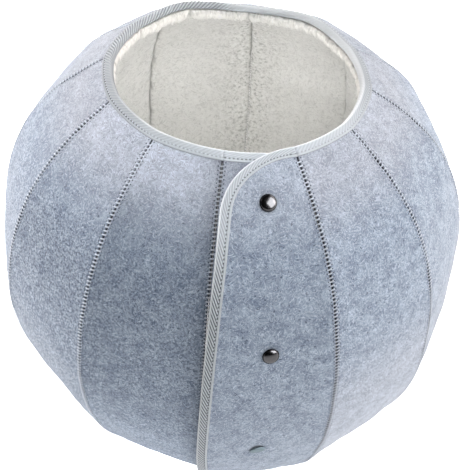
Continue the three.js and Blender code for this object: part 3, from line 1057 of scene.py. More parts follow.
# Pale fuzz toward the rim and the hem: partly pale fibre, partly painted sheen.
FUZZ_AND_SHEEN = {0: 0.18, 4: 0.2, 5: 0.16, 6: 0.16, 7: 0.2}
USUAL_FUZZ_AND_SHEEN = 0.32
FUZZ_AND_SHEEN_FADE = (30 * MM, 105 * MM)
HEM_FUZZ_AND_SHEEN = {0: 0.05, 1: 0.24, 2: 0.12}
HEM_FUZZ_AND_SHEEN_FADE = (170 * MM, 270 * MM)
BESIDE_FLAP = PANELS - 1
BESIDE_FLAP_TONE = 1.06
FLAP_SHADE = 0.5
FLAP_SHADE_REACH = 11 * MM


def felt_tones(panel, grid):
    """Tone with painted light and shade, dark heather, and pale fuzz with painted sheen at each point of a
    panel.
    """
    below_rim = WALL_LENGTH - grid.up
    tone_and_painted_light = np.full(grid.up.shape, PAINTED_PANEL_LIGHT.get(panel % PANELS, 1.0))
    rim_light = PAINTED_RIM_LIGHT.get(panel, USUAL_RIM_LIGHT)
    tone_and_painted_light = tone_and_painted_light * (1 + rim_light * (1 - smooth_step(below_rim, *RIM_FADE)))
    hem_light, hem_from, hem_to = PAINTED_HEM_LIGHT.get(panel, NO_HEM_LIGHT)
    tone_and_painted_light = tone_and_painted_light * (1 + hem_light * smooth_step(below_rim, hem_from, hem_to))
    belly = np.exp(-(((below_rim - BELLY_MIDDLE) / BELLY_HALF) ** 2))
    tone_and_painted_light = tone_and_painted_light * (1 + PAINTED_BELLY_SHADE.get(panel, 0.0) * belly)
    # Painted shadow of the flap on the panel beside it.
    if panel == BESIDE_FLAP:
        to_flap = (1 - grid.across) * panel_width(grid.up)
        tone_and_painted_light = tone_and_painted_light * (BESIDE_FLAP_TONE - FLAP_SHADE * np.exp(-to_flap / FLAP_SHADE_REACH))
    heather = HEATHER.get(panel, 0.0) * smooth_step(below_rim, *HEATHER_FADE)
    fuzz_and_sheen = FUZZ_AND_SHEEN.get(panel, USUAL_FUZZ_AND_SHEEN) * (1 - smooth_step(below_rim, *FUZZ_AND_SHEEN_FADE))
    fuzz_and_sheen = fuzz_and_sheen + HEM_FUZZ_AND_SHEEN.get(panel, 0.0) * smooth_step(below_rim, *HEM_FUZZ_AND_SHEEN_FADE)
    return {"tone_and_painted_light": tone_and_painted_light * (1 + HEATHER_LIFT * heather), "heather": heather, "fuzz_and_sheen": fuzz_and_sheen}


print("panels with dark heather:", len(HEATHER))

# %% Plain felt panels
FELT = 2.4 * MM
LADDER_START = 10.5 * MM  # first bar of a seam, up from the hem
ROLL_SHIFT = np.array([0.37, 0.61, 0.83])  # from one panel's place on the roll to the next one's
OUT_OF_REACH = 1.0  # keeps needle holes off the inner face


def cloth_values(panel, across, up, seam):
    """Place on the flat cloth and strength of the seam line, for both faces."""
    flat = np.stack([(across - 0.5) * panel_width(up), up, np.zeros_like(up)], -1)
    flat = flat + ROLL_SHIFT * (panel + 1)
    return {"cloth": both_faces(flat, flat), "seam": both_faces(seam, seam)}


def felt_piece(name, node, place, panel, grid, free=1.0, pressed=0.0):
    """A panel of felt. place is its kind of wall, and pressed is extra depth of the outer face."""
    groove = seam_groove(panel, grid)
    outer = place(panel, grid.across, grid.up, felt_depth(panel, grid, groove, free) + pressed)
    inner = place(panel, grid.across, grid.up, np.full(grid.up.shape, FELT))
    values = cloth_values(panel, grid.across, grid.up, groove)
    for label, tones in felt_tones(panel, grid).items():
        values[label] = both_faces(tones, tones)
    bar = grid.up - LADDER_START + BAR_PITCH / 2
    needle = np.stack([grid.beside, bar, np.zeros_like(bar)], -1)
    values["needle"] = both_faces(needle, needle + OUT_OF_REACH)
    faces = slab_faces(*grid.up.shape)
    return add_piece(name, both_faces(outer, inner), faces, FELT_FINISH, values, node)


felt_pieces = []
for panel in range(1, PANELS):
    name = f"outer_panel_{panel:02d}"
    felt_pieces.append(felt_piece(name, f"felt_gore_{panel:02d}", plain_place, panel, gore_grid()))
print("plain felt panels:", len(felt_pieces))

# %% [markdown]
# Flap and underlap
# The two end panels close the front. Their free corners are rounded, so their rows can't be plain levels:
# each row starts on the free edge and runs to the sewn seam. Cutting the corner with a boolean would leave
# long thin faces there. The flap's edge drifts a little past the opening seam toward the floor.

# %% Free edges
FLAP_CORNER = 52.5 * MM
FLAP_INSET = 3.7 * MM
FLAP_OVERHANG = 0.053  # share of the panel's width that the flap drifts past its seam
DRIFT_FROM = 95 * MM
DRIFT_TO = 310 * MM
UNDERLAP_CORNER = 40 * MM
UNDERLAP_END = 0.93
EDGE_EASE = 30 * MM
# Points from the hem to the rim: x across the flat cloth, up the wall, and the direction into the cloth.
FreeEdge = namedtuple("FreeEdge", "x up in_x in_up")


def free_edge(side, corner, centre, straight, turn_steps, step):
    """A straight edge between two round corners. side is -1 for a left edge and 1 for a right one."""
    turn = np.linspace(0, math.pi / 2, turn_steps + 1)
    bow_x = centre + side * corner * np.sin(turn)
    bow_up = corner * (1 - np.cos(turn))
    count = int(round((WALL_LENGTH - 2 * corner) / step))
    middle = np.linspace(corner, WALL_LENGTH - corner, count + 1)[1:-1]
    ease = smooth_step(np.minimum(middle - corner, WALL_LENGTH - corner - middle), 0, EDGE_EASE)
    held = bow_x[-1] + (straight(middle) - bow_x[-1]) * ease
    bow_in = -side * np.sin(turn)
    return FreeEdge(
        np.concatenate([bow_x, held, bow_x[::-1]]),
        np.concatenate([bow_up, middle, WALL_LENGTH - bow_up[::-1]]),
        np.concatenate([bow_in, np.full(len(middle), -side), bow_in[::-1]]),
        np.concatenate([np.cos(turn), np.zeros(len(middle)), -np.cos(turn[::-1])]),
    )


def flap_across(x, up):
    drift = np.clip((WALL_LENGTH - up - DRIFT_FROM) / (DRIFT_TO - DRIFT_FROM), 0, 1)
    return (x + FLAP_INSET) / panel_width(up) - FLAP_OVERHANG * drift


def underlap_across(x, up):
    return x / panel_width(up)


def flap_edge(turn_steps, step):
    return free_edge(-1, FLAP_CORNER, FLAP_CORNER, np.zeros_like, turn_steps, step)


def underlap_side(up):
    return UNDERLAP_END * panel_width(up)


def underlap_edge(turn_steps, step):
    centre = float(underlap_side(WALL_LENGTH - UNDERLAP_CORNER)) - UNDERLAP_CORNER
    return free_edge(1, UNDERLAP_CORNER, centre, underlap_side, turn_steps, step)


print("flap corner:", FLAP_CORNER, "m, underlap corner:", UNDERLAP_CORNER, "m")

# %% Grids of the end panels
FLAP_TURN_STEPS = 24
UNDERLAP_TURN_STEPS = 20
CROWDING = 2.2


def flap_grid(columns):
    """Rows from the free edge to the seam at the flap's right."""
    edge = flap_edge(FLAP_TURN_STEPS, FELT_ROW)
    width = panel_width(edge.up)[:, None]
    start = flap_across(edge.x, edge.up)[:, None]
    share = 1 - np.power(1 - np.linspace(0, 1, columns), CROWDING)[None, :]
    across = start + (1 - EDGE_STEPS[0] / width - start) * share
    return Grid(np.broadcast_to(edge.up[:, None], across.shape), across, (1 - across) * width)


def underlap_grid(columns):
    """Rows from the seam at the underlap's left to the free edge."""
    edge = underlap_edge(UNDERLAP_TURN_STEPS, FELT_ROW)
    width = panel_width(edge.up)[:, None]
    end = underlap_across(edge.x, edge.up)[:, None]
    first = EDGE_STEPS[0] / width
    share = np.power(np.linspace(0, 1, columns), CROWDING)[None, :]
    across = first + (end - first) * share
    return Grid(np.broadcast_to(edge.up[:, None], across.shape), across, across * width)


def from_free_edge(grid, column):
    """Distance from the free edge, which is the first column of the flap and the last of the underlap."""
    return np.abs(grid.across - grid.across[:, column][:, None]) * panel_width(grid.up)


print("rows of flap and underlap:", len(flap_grid(2).up), len(underlap_grid(2).up))

# %% [markdown]
# Three snaps hold the flap. Round each of them the felt is pressed in, which shows as a shallow ring. The
# lowest one is pulled hardest, where the belly turns under: it is set flatter and tipped, it lies in a dent
# of its own, and its plate is dull, rougher, with a cool grey and a lifted tone painted in as reflection.

# %% Flap and underlap felt
# Distance below the rim and place across the flap, depth of the dent, share of the dome's height,
# tip in degrees, dullness of the plate with its painted reflection, and its tone of painted reflection.
Snap = namedtuple("Snap", "name below_rim across sink rise tip dullness tone")
SNAPS = [
    Snap("upper", 45.2 * MM, 0.518, 0.0, 1.0, 0.0, 0.0, 1.0),
    Snap("middle", 177.4 * MM, 0.482, 0.0, 1.0, 0.0, 0.0, 1.0),
    Snap("lower", 309.5 * MM, 0.444, 1.2 * MM, 0.35, 9.0, 0.5, 2.1),
]
RING_DEPTH = 0.55 * MM
RING_RADIUS = 8.4 * MM
RING_HALF = 2.4 * MM
DENT_EDGE = (6.5 * MM, 9.5 * MM)
FLAP_COLUMNS = 36
UNDERLAP_COLUMNS = 34
FREE_FADE = (TAPE_WIDTH, 2 * TAPE_WIDTH)


def snap_press(grid):
    """Depth that the snaps press into the flap."""
    pressed = np.zeros(grid.up.shape)
    for snap in SNAPS:
        aside = (grid.across - snap.across) * panel_width(grid.up)
        away = np.hypot(aside, grid.up - (WALL_LENGTH - snap.below_rim))
        pressed = pressed + RING_DEPTH * np.exp(-(((away - RING_RADIUS) / RING_HALF) ** 2))
        pressed = pressed + snap.sink * (1 - smooth_step(away, *DENT_EDGE))
    return pressed


grid = flap_grid(FLAP_COLUMNS)
free = smooth_step(from_free_edge(grid, 0), *FREE_FADE)
flap_felt = felt_piece("front_flap_felt", "felt_flap", flap_place, 0, grid, free, snap_press(grid))
grid = underlap_grid(UNDERLAP_COLUMNS)
free = smooth_step(from_free_edge(grid, -1), *FREE_FADE)
underlap_felt = felt_piece("front_underlap_felt", "felt_underlap", underlap_place, PANELS, grid, free)
felt_pieces += [flap_felt, underlap_felt]
print("felt pieces:", len(felt_pieces))

# %% [markdown]
# Fleece lining
# The lining panels lie behind the felt, and their pile stands several millimetres proud. At the upper mouth
# the fleece is nipped by the tape and puffs out below it in a soft roll, which catches the light at the far
# rim. So the inner face isn't a plain offset of the wall: near the rim it follows a small drawn profile,
# given as distance below the rim and depth from the outer face.

# %% Rows of the fleece
GAP = 0.3 * MM
LINING_START = FELT + GAP
WALL = 5.3 * MM  # felt and the fleece's ground together
# Distance below the rim and depth, from under the tape, round the roll and down to the wall.
ROLL_PROFILE = np.array([
    (0.4, 5.2), (4, 5.25), (6.5, 5.3), (8.7, 5.5), (8.5, 6.7), (5.0, 6.7), (2.2, 6.8), (0.7, 7.5),
    (0.4, 9.0), (1.0, 11.0), (2.5, 13.2), (4.6, 15.2), (7.4, 16.7), (11.0, 16.7), (16.0, 15.0),
    (23.0, 12.4), (31.0, 10.3), (42.0, 8.6),
]) * MM
ROLL_REACH, PILE_DEPTH = ROLL_PROFILE[-1]
ROLL_SMOOTHINGS = 3
FLEECE_ROW = 7 * MM
ROLL_ROWS = 36
HEM_SWELL = (9 * MM, 30 * MM)
LIVELY_FROM = (6 * MM, 8 * MM)
# Place up the wall of the outer and inner face, depth of the inner face, and how lively its pile is.
FleeceRows = namedtuple("FleeceRows", "outer_up inner_up depth lively")


def roll_curve():
    """Points along the drawn profile, from the wall up to the rim, evenly spaced."""
    drawn = ROLL_PROFILE[::-1]
    reach = np.concatenate([[0], np.cumsum(np.linalg.norm(np.diff(drawn, axis=0), axis=1))])
    at = np.linspace(0, reach[-1], ROLL_ROWS)
    smooth = np.stack([np.interp(at, reach, drawn[:, 0]), np.interp(at, reach, drawn[:, 1])], -1)
    for _ in range(ROLL_SMOOTHINGS):
        smooth[1:-1] = 0.25 * smooth[:-2] + 0.5 * smooth[1:-1] + 0.25 * smooth[2:]
    return smooth[:, 0], smooth[:, 1]


def fleece_rows():
    """Rows of a plain lining panel, from hem to rim."""
    roll_top = WALL_LENGTH - ROLL_REACH
    below = np.linspace(0, roll_top, int(round(roll_top / FLEECE_ROW)) + 1)[:-1]
    swell = smooth_step(below, *HEM_SWELL)
    below_rim, roll_depth = roll_curve()
    return FleeceRows(
        np.concatenate([below, np.linspace(roll_top, WALL_LENGTH - GAP, ROLL_ROWS)]),
        np.concatenate([below, WALL_LENGTH - below_rim]),
        np.concatenate([WALL + (PILE_DEPTH - WALL) * swell, roll_depth]),
        np.concatenate([swell, smooth_step(roll_depth, *LIVELY_FROM)]),
    )


print("rows of a lining panel:", len(fleece_rows().depth))

# %% [markdown]
# At each seam the pile is drawn into a soft valley and the roll has a notch, shallower where the cloth is
# pulled less. The skin of the pile is two sizes of lumps, and on the roll it is combed into strands with
# a scalloped lower edge.

# %% Relief of the fleece
VALLEY_HALF = 1.9 * MM
NOTCHES = {4: 0.15, 5: 0.15}
USUAL_NOTCH = 0.55
ON_ROLL = (9.5 * MM, 12 * MM)
THINNEST_PILE = 1.2 * MM
LUMPS = [(0.40 * MM, 11 * MM, 300), (0.35 * MM, 30 * MM, 400)]
STRANDS = [(0.45 * MM, 4 * MM, 500)]
STRAND_DRAW = 0.1
SCALLOPS = [(1.0 * MM, 9 * MM, 550)]
SCALLOP_FROM = (6 * MM, 11 * MM)


def valley(beside):
    """1 on a seam of the lining, falling to 0 beside it."""
    return np.exp(-((beside / VALLEY_HALF) ** 2))


def fleece_relief(panel, across, beside, rows, on_roll):
    """Place up the wall and depth of a lining panel's inner face."""
    x = across * panel_width(rows.outer_up)
    lumps = wave_sum(x, rows.inner_up, LUMPS, panel)
    strands = wave_sum(x, rows.inner_up * STRAND_DRAW, STRANDS, panel)
    notch = by_seam(NOTCHES, USUAL_NOTCH, panel, across)
    pile = (rows.depth - WALL) * (1 - notch * valley(beside)) + lumps * rows.lively + strands * on_roll
    depth = np.maximum(WALL + pile, LINING_START + THINNEST_PILE)
    lower_edge = on_roll * smooth_step(WALL_LENGTH - rows.inner_up, *SCALLOP_FROM)
    return rows.inner_up + wave_sum(x, 0 * x, SCALLOPS, panel) * lower_edge, depth


print("pile stands", round(float(PILE_DEPTH - WALL), 4), "m proud")

# %% [markdown]
# Under the pile the seams wander, their lines of painted shade are clear on some and hardly there on others,
# and beside the middle one the fleece is puckered. The roll is painted paler where it faces the light, and
# the wall holds painted shade toward one side. As with the felt, short tables by seam and by direction give
# the amounts.

# %% Tones of the fleece
SEAM_SHADES = {5: 0.1, 6: 0.6, 7: 0.85}
USUAL_SEAM_SHADE = 0.4
SEAM_LINE_HALF = 1.3 * MM
SEAM_WANDER = [(0.8 * MM, 22 * MM, 900)]
PUCKERS = {6: 1.0}
USUAL_PUCKER = 0.2
PUCKER_REACH = {6: 34 * MM}
USUAL_PUCKER_REACH = 15 * MM
COMBED_FROM = WALL_LENGTH - 22 * MM
COMBED = 0.22  # fibres on the roll are drawn out to this share of their fineness
# Direction in degrees from the front, and tone of painted light and shade.
PAINTED_ROLL_LIGHT = [
    (30, 0.75), (50, 0.6), (92, 0.56), (102, 0.66), (112, 0.96), (128, 1.14), (150, 1.2), (212, 1.2),
    (240, 1.08), (262, 0.95), (276, 0.72), (285, 0.62), (330, 0.62),
]
PAINTED_WALL_SHADE = [(95, 0.60), (122, 0.62), (138, 0.77), (152, 0.97), (160, 1.02)]


def by_direction(turn, table):
    """Tone at a direction, between the table's rows."""
    return np.interp(turn, *np.transpose(table))


def from_seam(panel, across, rows):
    """Distance to the line of the nearer seam, which the pile pushes aside."""
    up = rows.inner_up
    before = wave_sum(up, 0 * up, SEAM_WANDER, panel)
    after = wave_sum(up, 0 * up, SEAM_WANDER, panel + 1)
    is_first = across < 0.5
    straight = np.where(is_first, across, across - 1) * panel_width(rows.outer_up)
    return straight + np.where(is_first, before, after)


def fleece_values(panel, across, rows, depth, on_roll):
    """What a lining panel stores for its finish. The outer face has no puckers and an even tone."""
    combed = np.minimum(rows.inner_up, COMBED_FROM) + COMBED * np.maximum(rows.inner_up - COMBED_FROM, 0)
    away = from_seam(panel, across, rows)
    shade = by_seam(SEAM_SHADES, USUAL_SEAM_SHADE, panel, across)
    values = cloth_values(panel, across, combed, shade * np.exp(-((away / SEAM_LINE_HALF) ** 2)))
    values["cloth"][:, 2] += both_faces(0 * depth, COMBED * depth)
    reach = by_seam(PUCKER_REACH, USUAL_PUCKER_REACH, panel, across)
    pucker = by_seam(PUCKERS, USUAL_PUCKER, panel, across) * np.exp(-((away / reach) ** 2)) * (1 - on_roll)
    values["pucker"] = both_faces(0 * pucker, pucker)
    turn = np.degrees(OPENING_SEAM + PANEL_ANGLE * (panel + across))
    # Painted light on the roll and painted shade on the wall, by direction.
    wall_shade = by_direction(turn, PAINTED_WALL_SHADE)
    tone_and_painted_light = wall_shade + (by_direction(turn, PAINTED_ROLL_LIGHT) - wall_shade) * on_roll
    values["tone_and_painted_light"] = both_faces(np.ones_like(tone_and_painted_light), tone_and_painted_light)
    return values


print("seams with their own shade:", sorted(SEAM_SHADES))

# %% Plain fleece panels
FLEECE_COLUMNS = 56


def fleece_piece(panel):
    rows = fleece_rows()
    width = panel_width(rows.outer_up)[:, None]
    across = spread_columns(width, EDGE_STEPS[::2], EDGE_STEPS[1::2], FLEECE_COLUMNS)
    rows = FleeceRows(*[np.broadcast_to(row[:, None], across.shape) for row in rows])
    on_roll = smooth_step(rows.depth, *ON_ROLL)
    beside = np.minimum(across, 1 - across) * width
    inner_up, depth = fleece_relief(panel, across, beside, rows, on_roll)
    outer = plain_place(panel, across, rows.outer_up, np.full(across.shape, LINING_START))
    inner = plain_place(panel, across, inner_up, depth)
    values = fleece_values(panel, across, rows, depth, on_roll)
    faces = slab_faces(*across.shape)
    name = f"fleece_panel_{panel:02d}"
    node = f"lining_gore_{panel:02d}"
    return add_piece(name, both_faces(outer, inner), faces, FLEECE_FINISH, values, node)


fleece_pieces = [fleece_piece(panel) for panel in range(1, PANELS)]
print("plain fleece panels:", len(fleece_pieces))

# %% [markdown]
# The end panels are lined too. Behind the flap there is only a finger's room, so its pile is pressed flat
# there. The underlap keeps its full pile, which fades toward the bound edge and is nipped at the seam.

# %% Fleece of the flap and the underlap
PRESSED_LUMPS = [(0.25, 12 * MM, 600)]
PRESSED_SEAM_HALF = 1.6 * MM
END_COLUMNS = 30
FLAP_PILE = 1.2 * MM
FLAP_PILE_FADE = (11 * MM, 16 * MM)
FLAP_PILE_CLEAR = 16 * MM
UNDERLAP_PILE = 3.2 * MM
UNDERLAP_PILE_FADE = (11 * MM, 20 * MM)
UNDERLAP_PILE_CLEAR = 20 * MM
UNDERLAP_NIP = 0.8


def pressed_fleece(name, node, place, panel, grid, pile):
    lumps = wave_sum(grid.across * panel_width(grid.up), grid.up, PRESSED_LUMPS, panel)
    outer = place(panel, grid.across, grid.up, np.full(grid.up.shape, LINING_START))
    inner = place(panel, grid.across, grid.up, WALL + pile * (1 + lumps))
    seam = np.exp(-((grid.beside / PRESSED_SEAM_HALF) ** 2))
    values = cloth_values(panel, grid.across, grid.up, seam)
    values["tone_and_painted_light"] = np.ones(2 * grid.up.size)
    values["pucker"] = np.zeros(2 * grid.up.size)
    faces = slab_faces(*grid.up.shape)
    return add_piece(name, both_faces(outer, inner), faces, FLEECE_FINISH, values, node)


grid = flap_grid(END_COLUMNS)
pile = FLAP_PILE * smooth_step(from_free_edge(grid, 0), *FLAP_PILE_FADE)
pile = pile * end_fade(grid.up, FLAP_PILE_CLEAR)
flap_fleece = pressed_fleece("front_flap_fleece", "lining_flap", flap_place, 0, grid, pile)
grid = underlap_grid(END_COLUMNS)
pile = UNDERLAP_PILE * smooth_step(from_free_edge(grid, -1), *UNDERLAP_PILE_FADE)
pile = pile * end_fade(grid.up, UNDERLAP_PILE_CLEAR) * (1 - UNDERLAP_NIP * valley(grid.beside))
underlap_fleece = pressed_fleece(
    "front_underlap_fleece", "lining_underlap", underlap_place, PANELS, grid, pile)
fleece_pieces += [flap_fleece, underlap_fleece]
print("fleece pieces:", len(fleece_pieces))

# %% [markdown]
# Folded tape
# A binding is one flat tape folded over the raw edge of felt and fleece, with a leg on each side. Its section
# is drawn once, with a rounded fold and a dent along the stitch line, and is then carried along the edge.
# A curve with a bevel would do this too, but it can't follow the wall's slope on both sides, so each point
# of the section is placed on the wall.

# %% Tape section
FOLD_OUT = 0.9 * MM  # how far the tape's face stands off the cloth
FOLD_START = 0.7 * MM
FOLD_DEPTH_POWER = 0.75
FOLD_INTO_POWER = 0.8
STITCH_DENT = 0.3 * MM
STITCH_DENT_HALF = 0.8 * MM
EDGE_TUCK = 0.25 * MM
EDGE_TUCK_HALF = 0.5 * MM
# The dark reverse reaches this far past the tape's edge, a painted shadow line on the cloth.
REVERSE_PAST = 0.35 * MM
REVERSE_OFF = 0.6 * GAP
REVERSE_INSET = -1.0 * MM
LEG_POINTS = 12
FOLD_POINTS = 13
REVERSE_POINTS = 4
FACE_POINTS = 2 * LEG_POINTS + FOLD_POINTS
RIM_FOLD = 1.3 * MM
HEM_FOLD = 2.3 * MM
# Ring of (depth, distance into the cloth), girth round the face, and inset from the tape's nearer edge.
TapeSection = namedtuple("TapeSection", "ring girth inset")


def tape_section(fold):
    """Section of the tape: its face from edge to edge over the fold, then its reverse, which stands a little
    past the edges as a painted shadow line.
    """
    into = np.linspace(TAPE_WIDTH, FOLD_START, LEG_POINTS)
    from_edge = TAPE_WIDTH - into
    dent = STITCH_DENT * np.exp(-(((from_edge - STITCH_INSET) / STITCH_DENT_HALF) ** 2))
    tuck = EDGE_TUCK * np.exp(-from_edge / EDGE_TUCK_HALF)
    leg_depth = -FOLD_OUT + dent + tuck
    turn = np.linspace(0, math.pi, FOLD_POINTS + 2)[1:-1]
    round_depth = np.sign(np.cos(turn)) * np.abs(np.cos(turn)) ** FOLD_DEPTH_POWER
    bow_depth = WALL / 2 - (WALL / 2 + FOLD_OUT) * round_depth
    bow_into = FOLD_START - (FOLD_START + fold) * np.abs(np.sin(turn)) ** FOLD_INTO_POWER
    outer_leg = np.stack([leg_depth, into], -1)
    inner_leg = np.stack([WALL - leg_depth, into], -1)[::-1]
    face = np.concatenate([outer_leg, np.stack([bow_depth, bow_into], -1), inner_leg])
    back_into = np.linspace(TAPE_WIDTH + REVERSE_PAST, -GAP, REVERSE_POINTS)
    lining_side = np.stack([np.full(REVERSE_POINTS, WALL + REVERSE_OFF), back_into], -1)
    felt_side = np.stack([np.full(REVERSE_POINTS, -REVERSE_OFF), back_into[::-1]], -1)
    girth = np.concatenate([[0], np.cumsum(np.linalg.norm(np.diff(face, axis=0), axis=1))])
    inset = np.minimum(girth, girth[-1] - girth)
    reverse = np.ones(2 * REVERSE_POINTS)
    return TapeSection(
        np.concatenate([face, lining_side, felt_side]),
        np.concatenate([girth, girth[-1] * reverse]),
        np.concatenate([inset, REVERSE_INSET * reverse]),
    )


RIM_SECTION = tape_section(RIM_FOLD)
HEM_SECTION = tape_section(HEM_FOLD)
print("tape width unfolded:", round(float(RIM_SECTION.girth.max()), 4), "m")

# %% [markdown]
# Carrying the section along an edge gives rows of points, which are skinned like a hose and closed at both
# ends. The distance along the tape is measured on the finished rows, while the girth round the section is
# that of the drawn section, though the level cut at the hem stretches the section there.


def along_tape(sections):
    """Distance along a tape at each section, measured on its outer leg."""
    lead = sections[:, sections.shape[1] // 4]
    return np.concatenate([[0], np.cumsum(np.linalg.norm(np.diff(lead, axis=0), axis=1))])


def carry_tape(name, node, sections, section, way, looks):
    """Skins sections[place along, section point]. way is -1 where the edge runs the other way round."""
    count, size = sections.shape[:2]
    along = along_tape(sections)
    index = np.arange(count * size).reshape(count, size)
    following = np.roll(index, -1, axis=1)
    faces = quads(index[:-1], following[:-1], following[1:], index[1:])
    ends = np.stack([index[0, ::-1], index[-1]])
    if way > 0:
        faces = faces[:, ::-1]
        ends = ends[:, ::-1]
    tape = np.zeros((count, size, 3))
    tape[..., 0] = way * along[:, None]
    tape[..., 1] = section.girth
    tape[..., 2] = section.inset
    values = {"tape": tape.reshape(-1, 3)}
    values["tone_and_painted_light"] = np.broadcast_to(looks["tone_and_painted_light"], (count, size)).ravel()
    values["rib"] = np.repeat(np.broadcast_to(looks["rib"], count), size)
    values["fold"] = np.repeat(np.broadcast_to(looks["fold"], count), size)
    values["weave"] = np.repeat(np.broadcast_to(looks["weave"], (count, 3)), size, axis=0)
    faces = faces.tolist() + ends.tolist()
    add_piece(name, sections, faces, TAPE_FINISH, values, node)


print("tape helpers ready")

# %% [markdown]
# From the back round to the left of a mouth the tape's ribs stand out, with painted shade in their valleys,
# and they run over the fold and dim its painted highlight; a little further on the stitch holes are painted
# darker. Elsewhere the ribs are faint and the fold has a bright painted highlight. The tape is painted paler
# at the front than round the back, and its inner leg holds painted shade at the sides.

# %% Looks of the mouth tapes
MOUTH_STEPS = 24
FIRST_TURN = 30
LAST_TURN = 360
# Direction in degrees from the front, and tone of painted light and shade.
PAINTED_MOUTH_LIGHT = [
    (25, 1.12), (54, 1.04), (70, 0.85), (90, 0.70), (138, 0.74), (150, 0.75), (175, 0.78), (198, 0.86),
    (234, 0.86), (262, 0.73), (285, 0.66), (297, 0.75), (309, 0.75), (322, 0.95), (342, 1.0), (356, 1.08),
]
PAINTED_INNER_SHADE = [
    (25, 0.66), (42, 0.72), (54, 0.86), (66, 0.9), (78, 0.82), (108, 0.88), (126, 1.0), (255, 1.0),
    (268, 0.84), (282, 0.64), (296, 0.66), (304, 0.9), (310, 1.0),
]
INNER_LEG = (0.38, 0.52)  # share of the girth over which the inner leg begins
# Stretches in degrees: where each rises and where it falls again.
RIBBED = (178, 192, 255, 275)
DARK_FOLD = (178, 192, 300, 318)
DARKER_HOLES = (258, 270, 310, 326)
# Ribs, painted fold highlight and painted shade of the stitch holes: usual amounts, and extra on the side
# from the back to the left.
MOUTH_RIB = 0.15
SIDE_RIB = 0.65
MOUTH_FOLD = 0.7
SIDE_FOLD = -0.5
MOUTH_MARK = 0.22
SIDE_MARK = 0.48
MOUTH_PITCH = 2.6 * MM
MOUTH_SLANT = math.radians(40)


def stretch_round(turn, rise_from, rise_to, fall_from, fall_to):
    """1 on a stretch round the mouth, with soft ends."""
    return smooth_step(turn, rise_from, rise_to) * (1 - smooth_step(turn, fall_from, fall_to))


def mouth_looks(section):
    """Ribs, fold, tone and weave of a mouth tape at each step round it."""
    turn = np.degrees(OPENING_SEAM) + np.linspace(FIRST_TURN, LAST_TURN, MOUTH_STEPS * (PANELS - 1) + 1)
    inner = smooth_step(section.girth / section.girth.max(), *INNER_LEG)
    outer_light = by_direction(turn, PAINTED_MOUTH_LIGHT)[:, None]
    inner_shade = by_direction(turn, PAINTED_INNER_SHADE)[:, None]
    mark = MOUTH_MARK + SIDE_MARK * stretch_round(turn, *DARKER_HOLES)
    return {
        "rib": MOUTH_RIB + SIDE_RIB * stretch_round(turn, *RIBBED),
        "fold": MOUTH_FOLD + SIDE_FOLD * stretch_round(turn, *DARK_FOLD),
        "tone_and_painted_light": outer_light * (1 + (inner_shade - 1) * inner),
        "weave": np.stack([0 * turn + MOUTH_PITCH, 0 * turn + MOUTH_SLANT, mark], -1),
    }


print("steps round a mouth:", MOUTH_STEPS * (PANELS - 1))

# %% Tapes of the mouths
def mouth_sections(ring, at_rim):
    """Sections round a mouth, over the plain panels from the flap's seam on."""
    share = np.linspace(0, 1, MOUTH_STEPS + 1)
    panels = np.concatenate([[1], np.repeat(np.arange(1, PANELS), MOUTH_STEPS)])
    shares = np.concatenate([[0], np.tile(share[1:], PANELS - 1)])
    size = (len(panels), len(ring))
    across = np.broadcast_to(shares[:, None], size)
    up = np.broadcast_to(WALL_LENGTH - ring[:, 1] if at_rim else ring[:, 1], size)
    return plain_place(panels[:, None], across, up, np.broadcast_to(ring[:, 0], size))


rim_sections = mouth_sections(RIM_SECTION.ring, True)
hem_sections = mouth_sections(HEM_SECTION.ring, False)
carry_tape("rim_tape", "binding_top", rim_sections, RIM_SECTION, 1, mouth_looks(RIM_SECTION))
carry_tape("hem_tape", "binding_bottom", hem_sections, HEM_SECTION, -1, mouth_looks(HEM_SECTION))

# %% [markdown]
# The tapes of the flap and the underlap run along a free edge, round both corners and on to the sewn seam.
# On the straight side their ribs stand out, with painted shade in their valleys and a darker painted tone,
# and toward the mouths the ribs fade and the tape is painted paler.

# %% Tapes of the flap and the underlap
RUN_STEP = 2.5 * MM
FLAP_TAPE_TURN = 40
UNDERLAP_TAPE_TURN = 30
# The darkness of the stitch line and its holes is painted shade.
EDGE_WEAVE = (1.9 * MM, math.radians(22), 0.6)  # pitch, slant and darkness of the needle holes
EDGE_FOLD = 0.7
FLAP_END_RIB = 0.32
UNDERLAP_END_RIB = 0.15
STANDING_RIB = 1.2
STANDING_FROM = (25 * MM, 90 * MM)
# Painted light toward the mouths, and painted shade in step with the ribs.
PAINTED_END_LIGHT = 1.14
RIB_SHADE = 0.2


def edge_sections(place, edge, across_of, seam, ring):
    """Sections from the sewn seam at the hem, along the free edge, to the seam at the rim."""
    at_up = edge.up[:, None] + edge.in_up[:, None] * ring[None, :, 1]
    at_x = edge.x[:, None] + edge.in_x[:, None] * ring[None, :, 1]
    along = place(0, across_of(at_x, at_up), at_up, np.broadcast_to(ring[None, :, 0], at_up.shape))
    runs = []
    for end, way in ((0, 1), (-1, -1)):
        start = float(across_of(edge.x[end], edge.up[end]))
        count = max(2, int(abs(seam - start) * float(panel_width(edge.up[end])) / RUN_STEP))
        share = np.linspace(0, 1, count + 1)[1:, None]
        size = (count, len(ring))
        across = np.broadcast_to(start + (seam - start) * share, size)
        up = np.broadcast_to(edge.up[end] + way * ring[None, :, 1], size)
        runs.append(place(0, across, up, np.broadcast_to(ring[None, :, 0], size)))
    return np.concatenate([runs[0][::-1], along, runs[1]])


def edge_looks(sections, end_rib):
    height = sections[:, 0, 2] - BODY_PLACE[2]
    standing = smooth_step(HALF_HEIGHT - np.abs(height), *STANDING_FROM)
    rib = end_rib + (STANDING_RIB - end_rib) * standing
    tone = PAINTED_END_LIGHT - RIB_SHADE * rib[:, None]
    return {"rib": rib, "fold": EDGE_FOLD, "tone_and_painted_light": tone, "weave": EDGE_WEAVE}


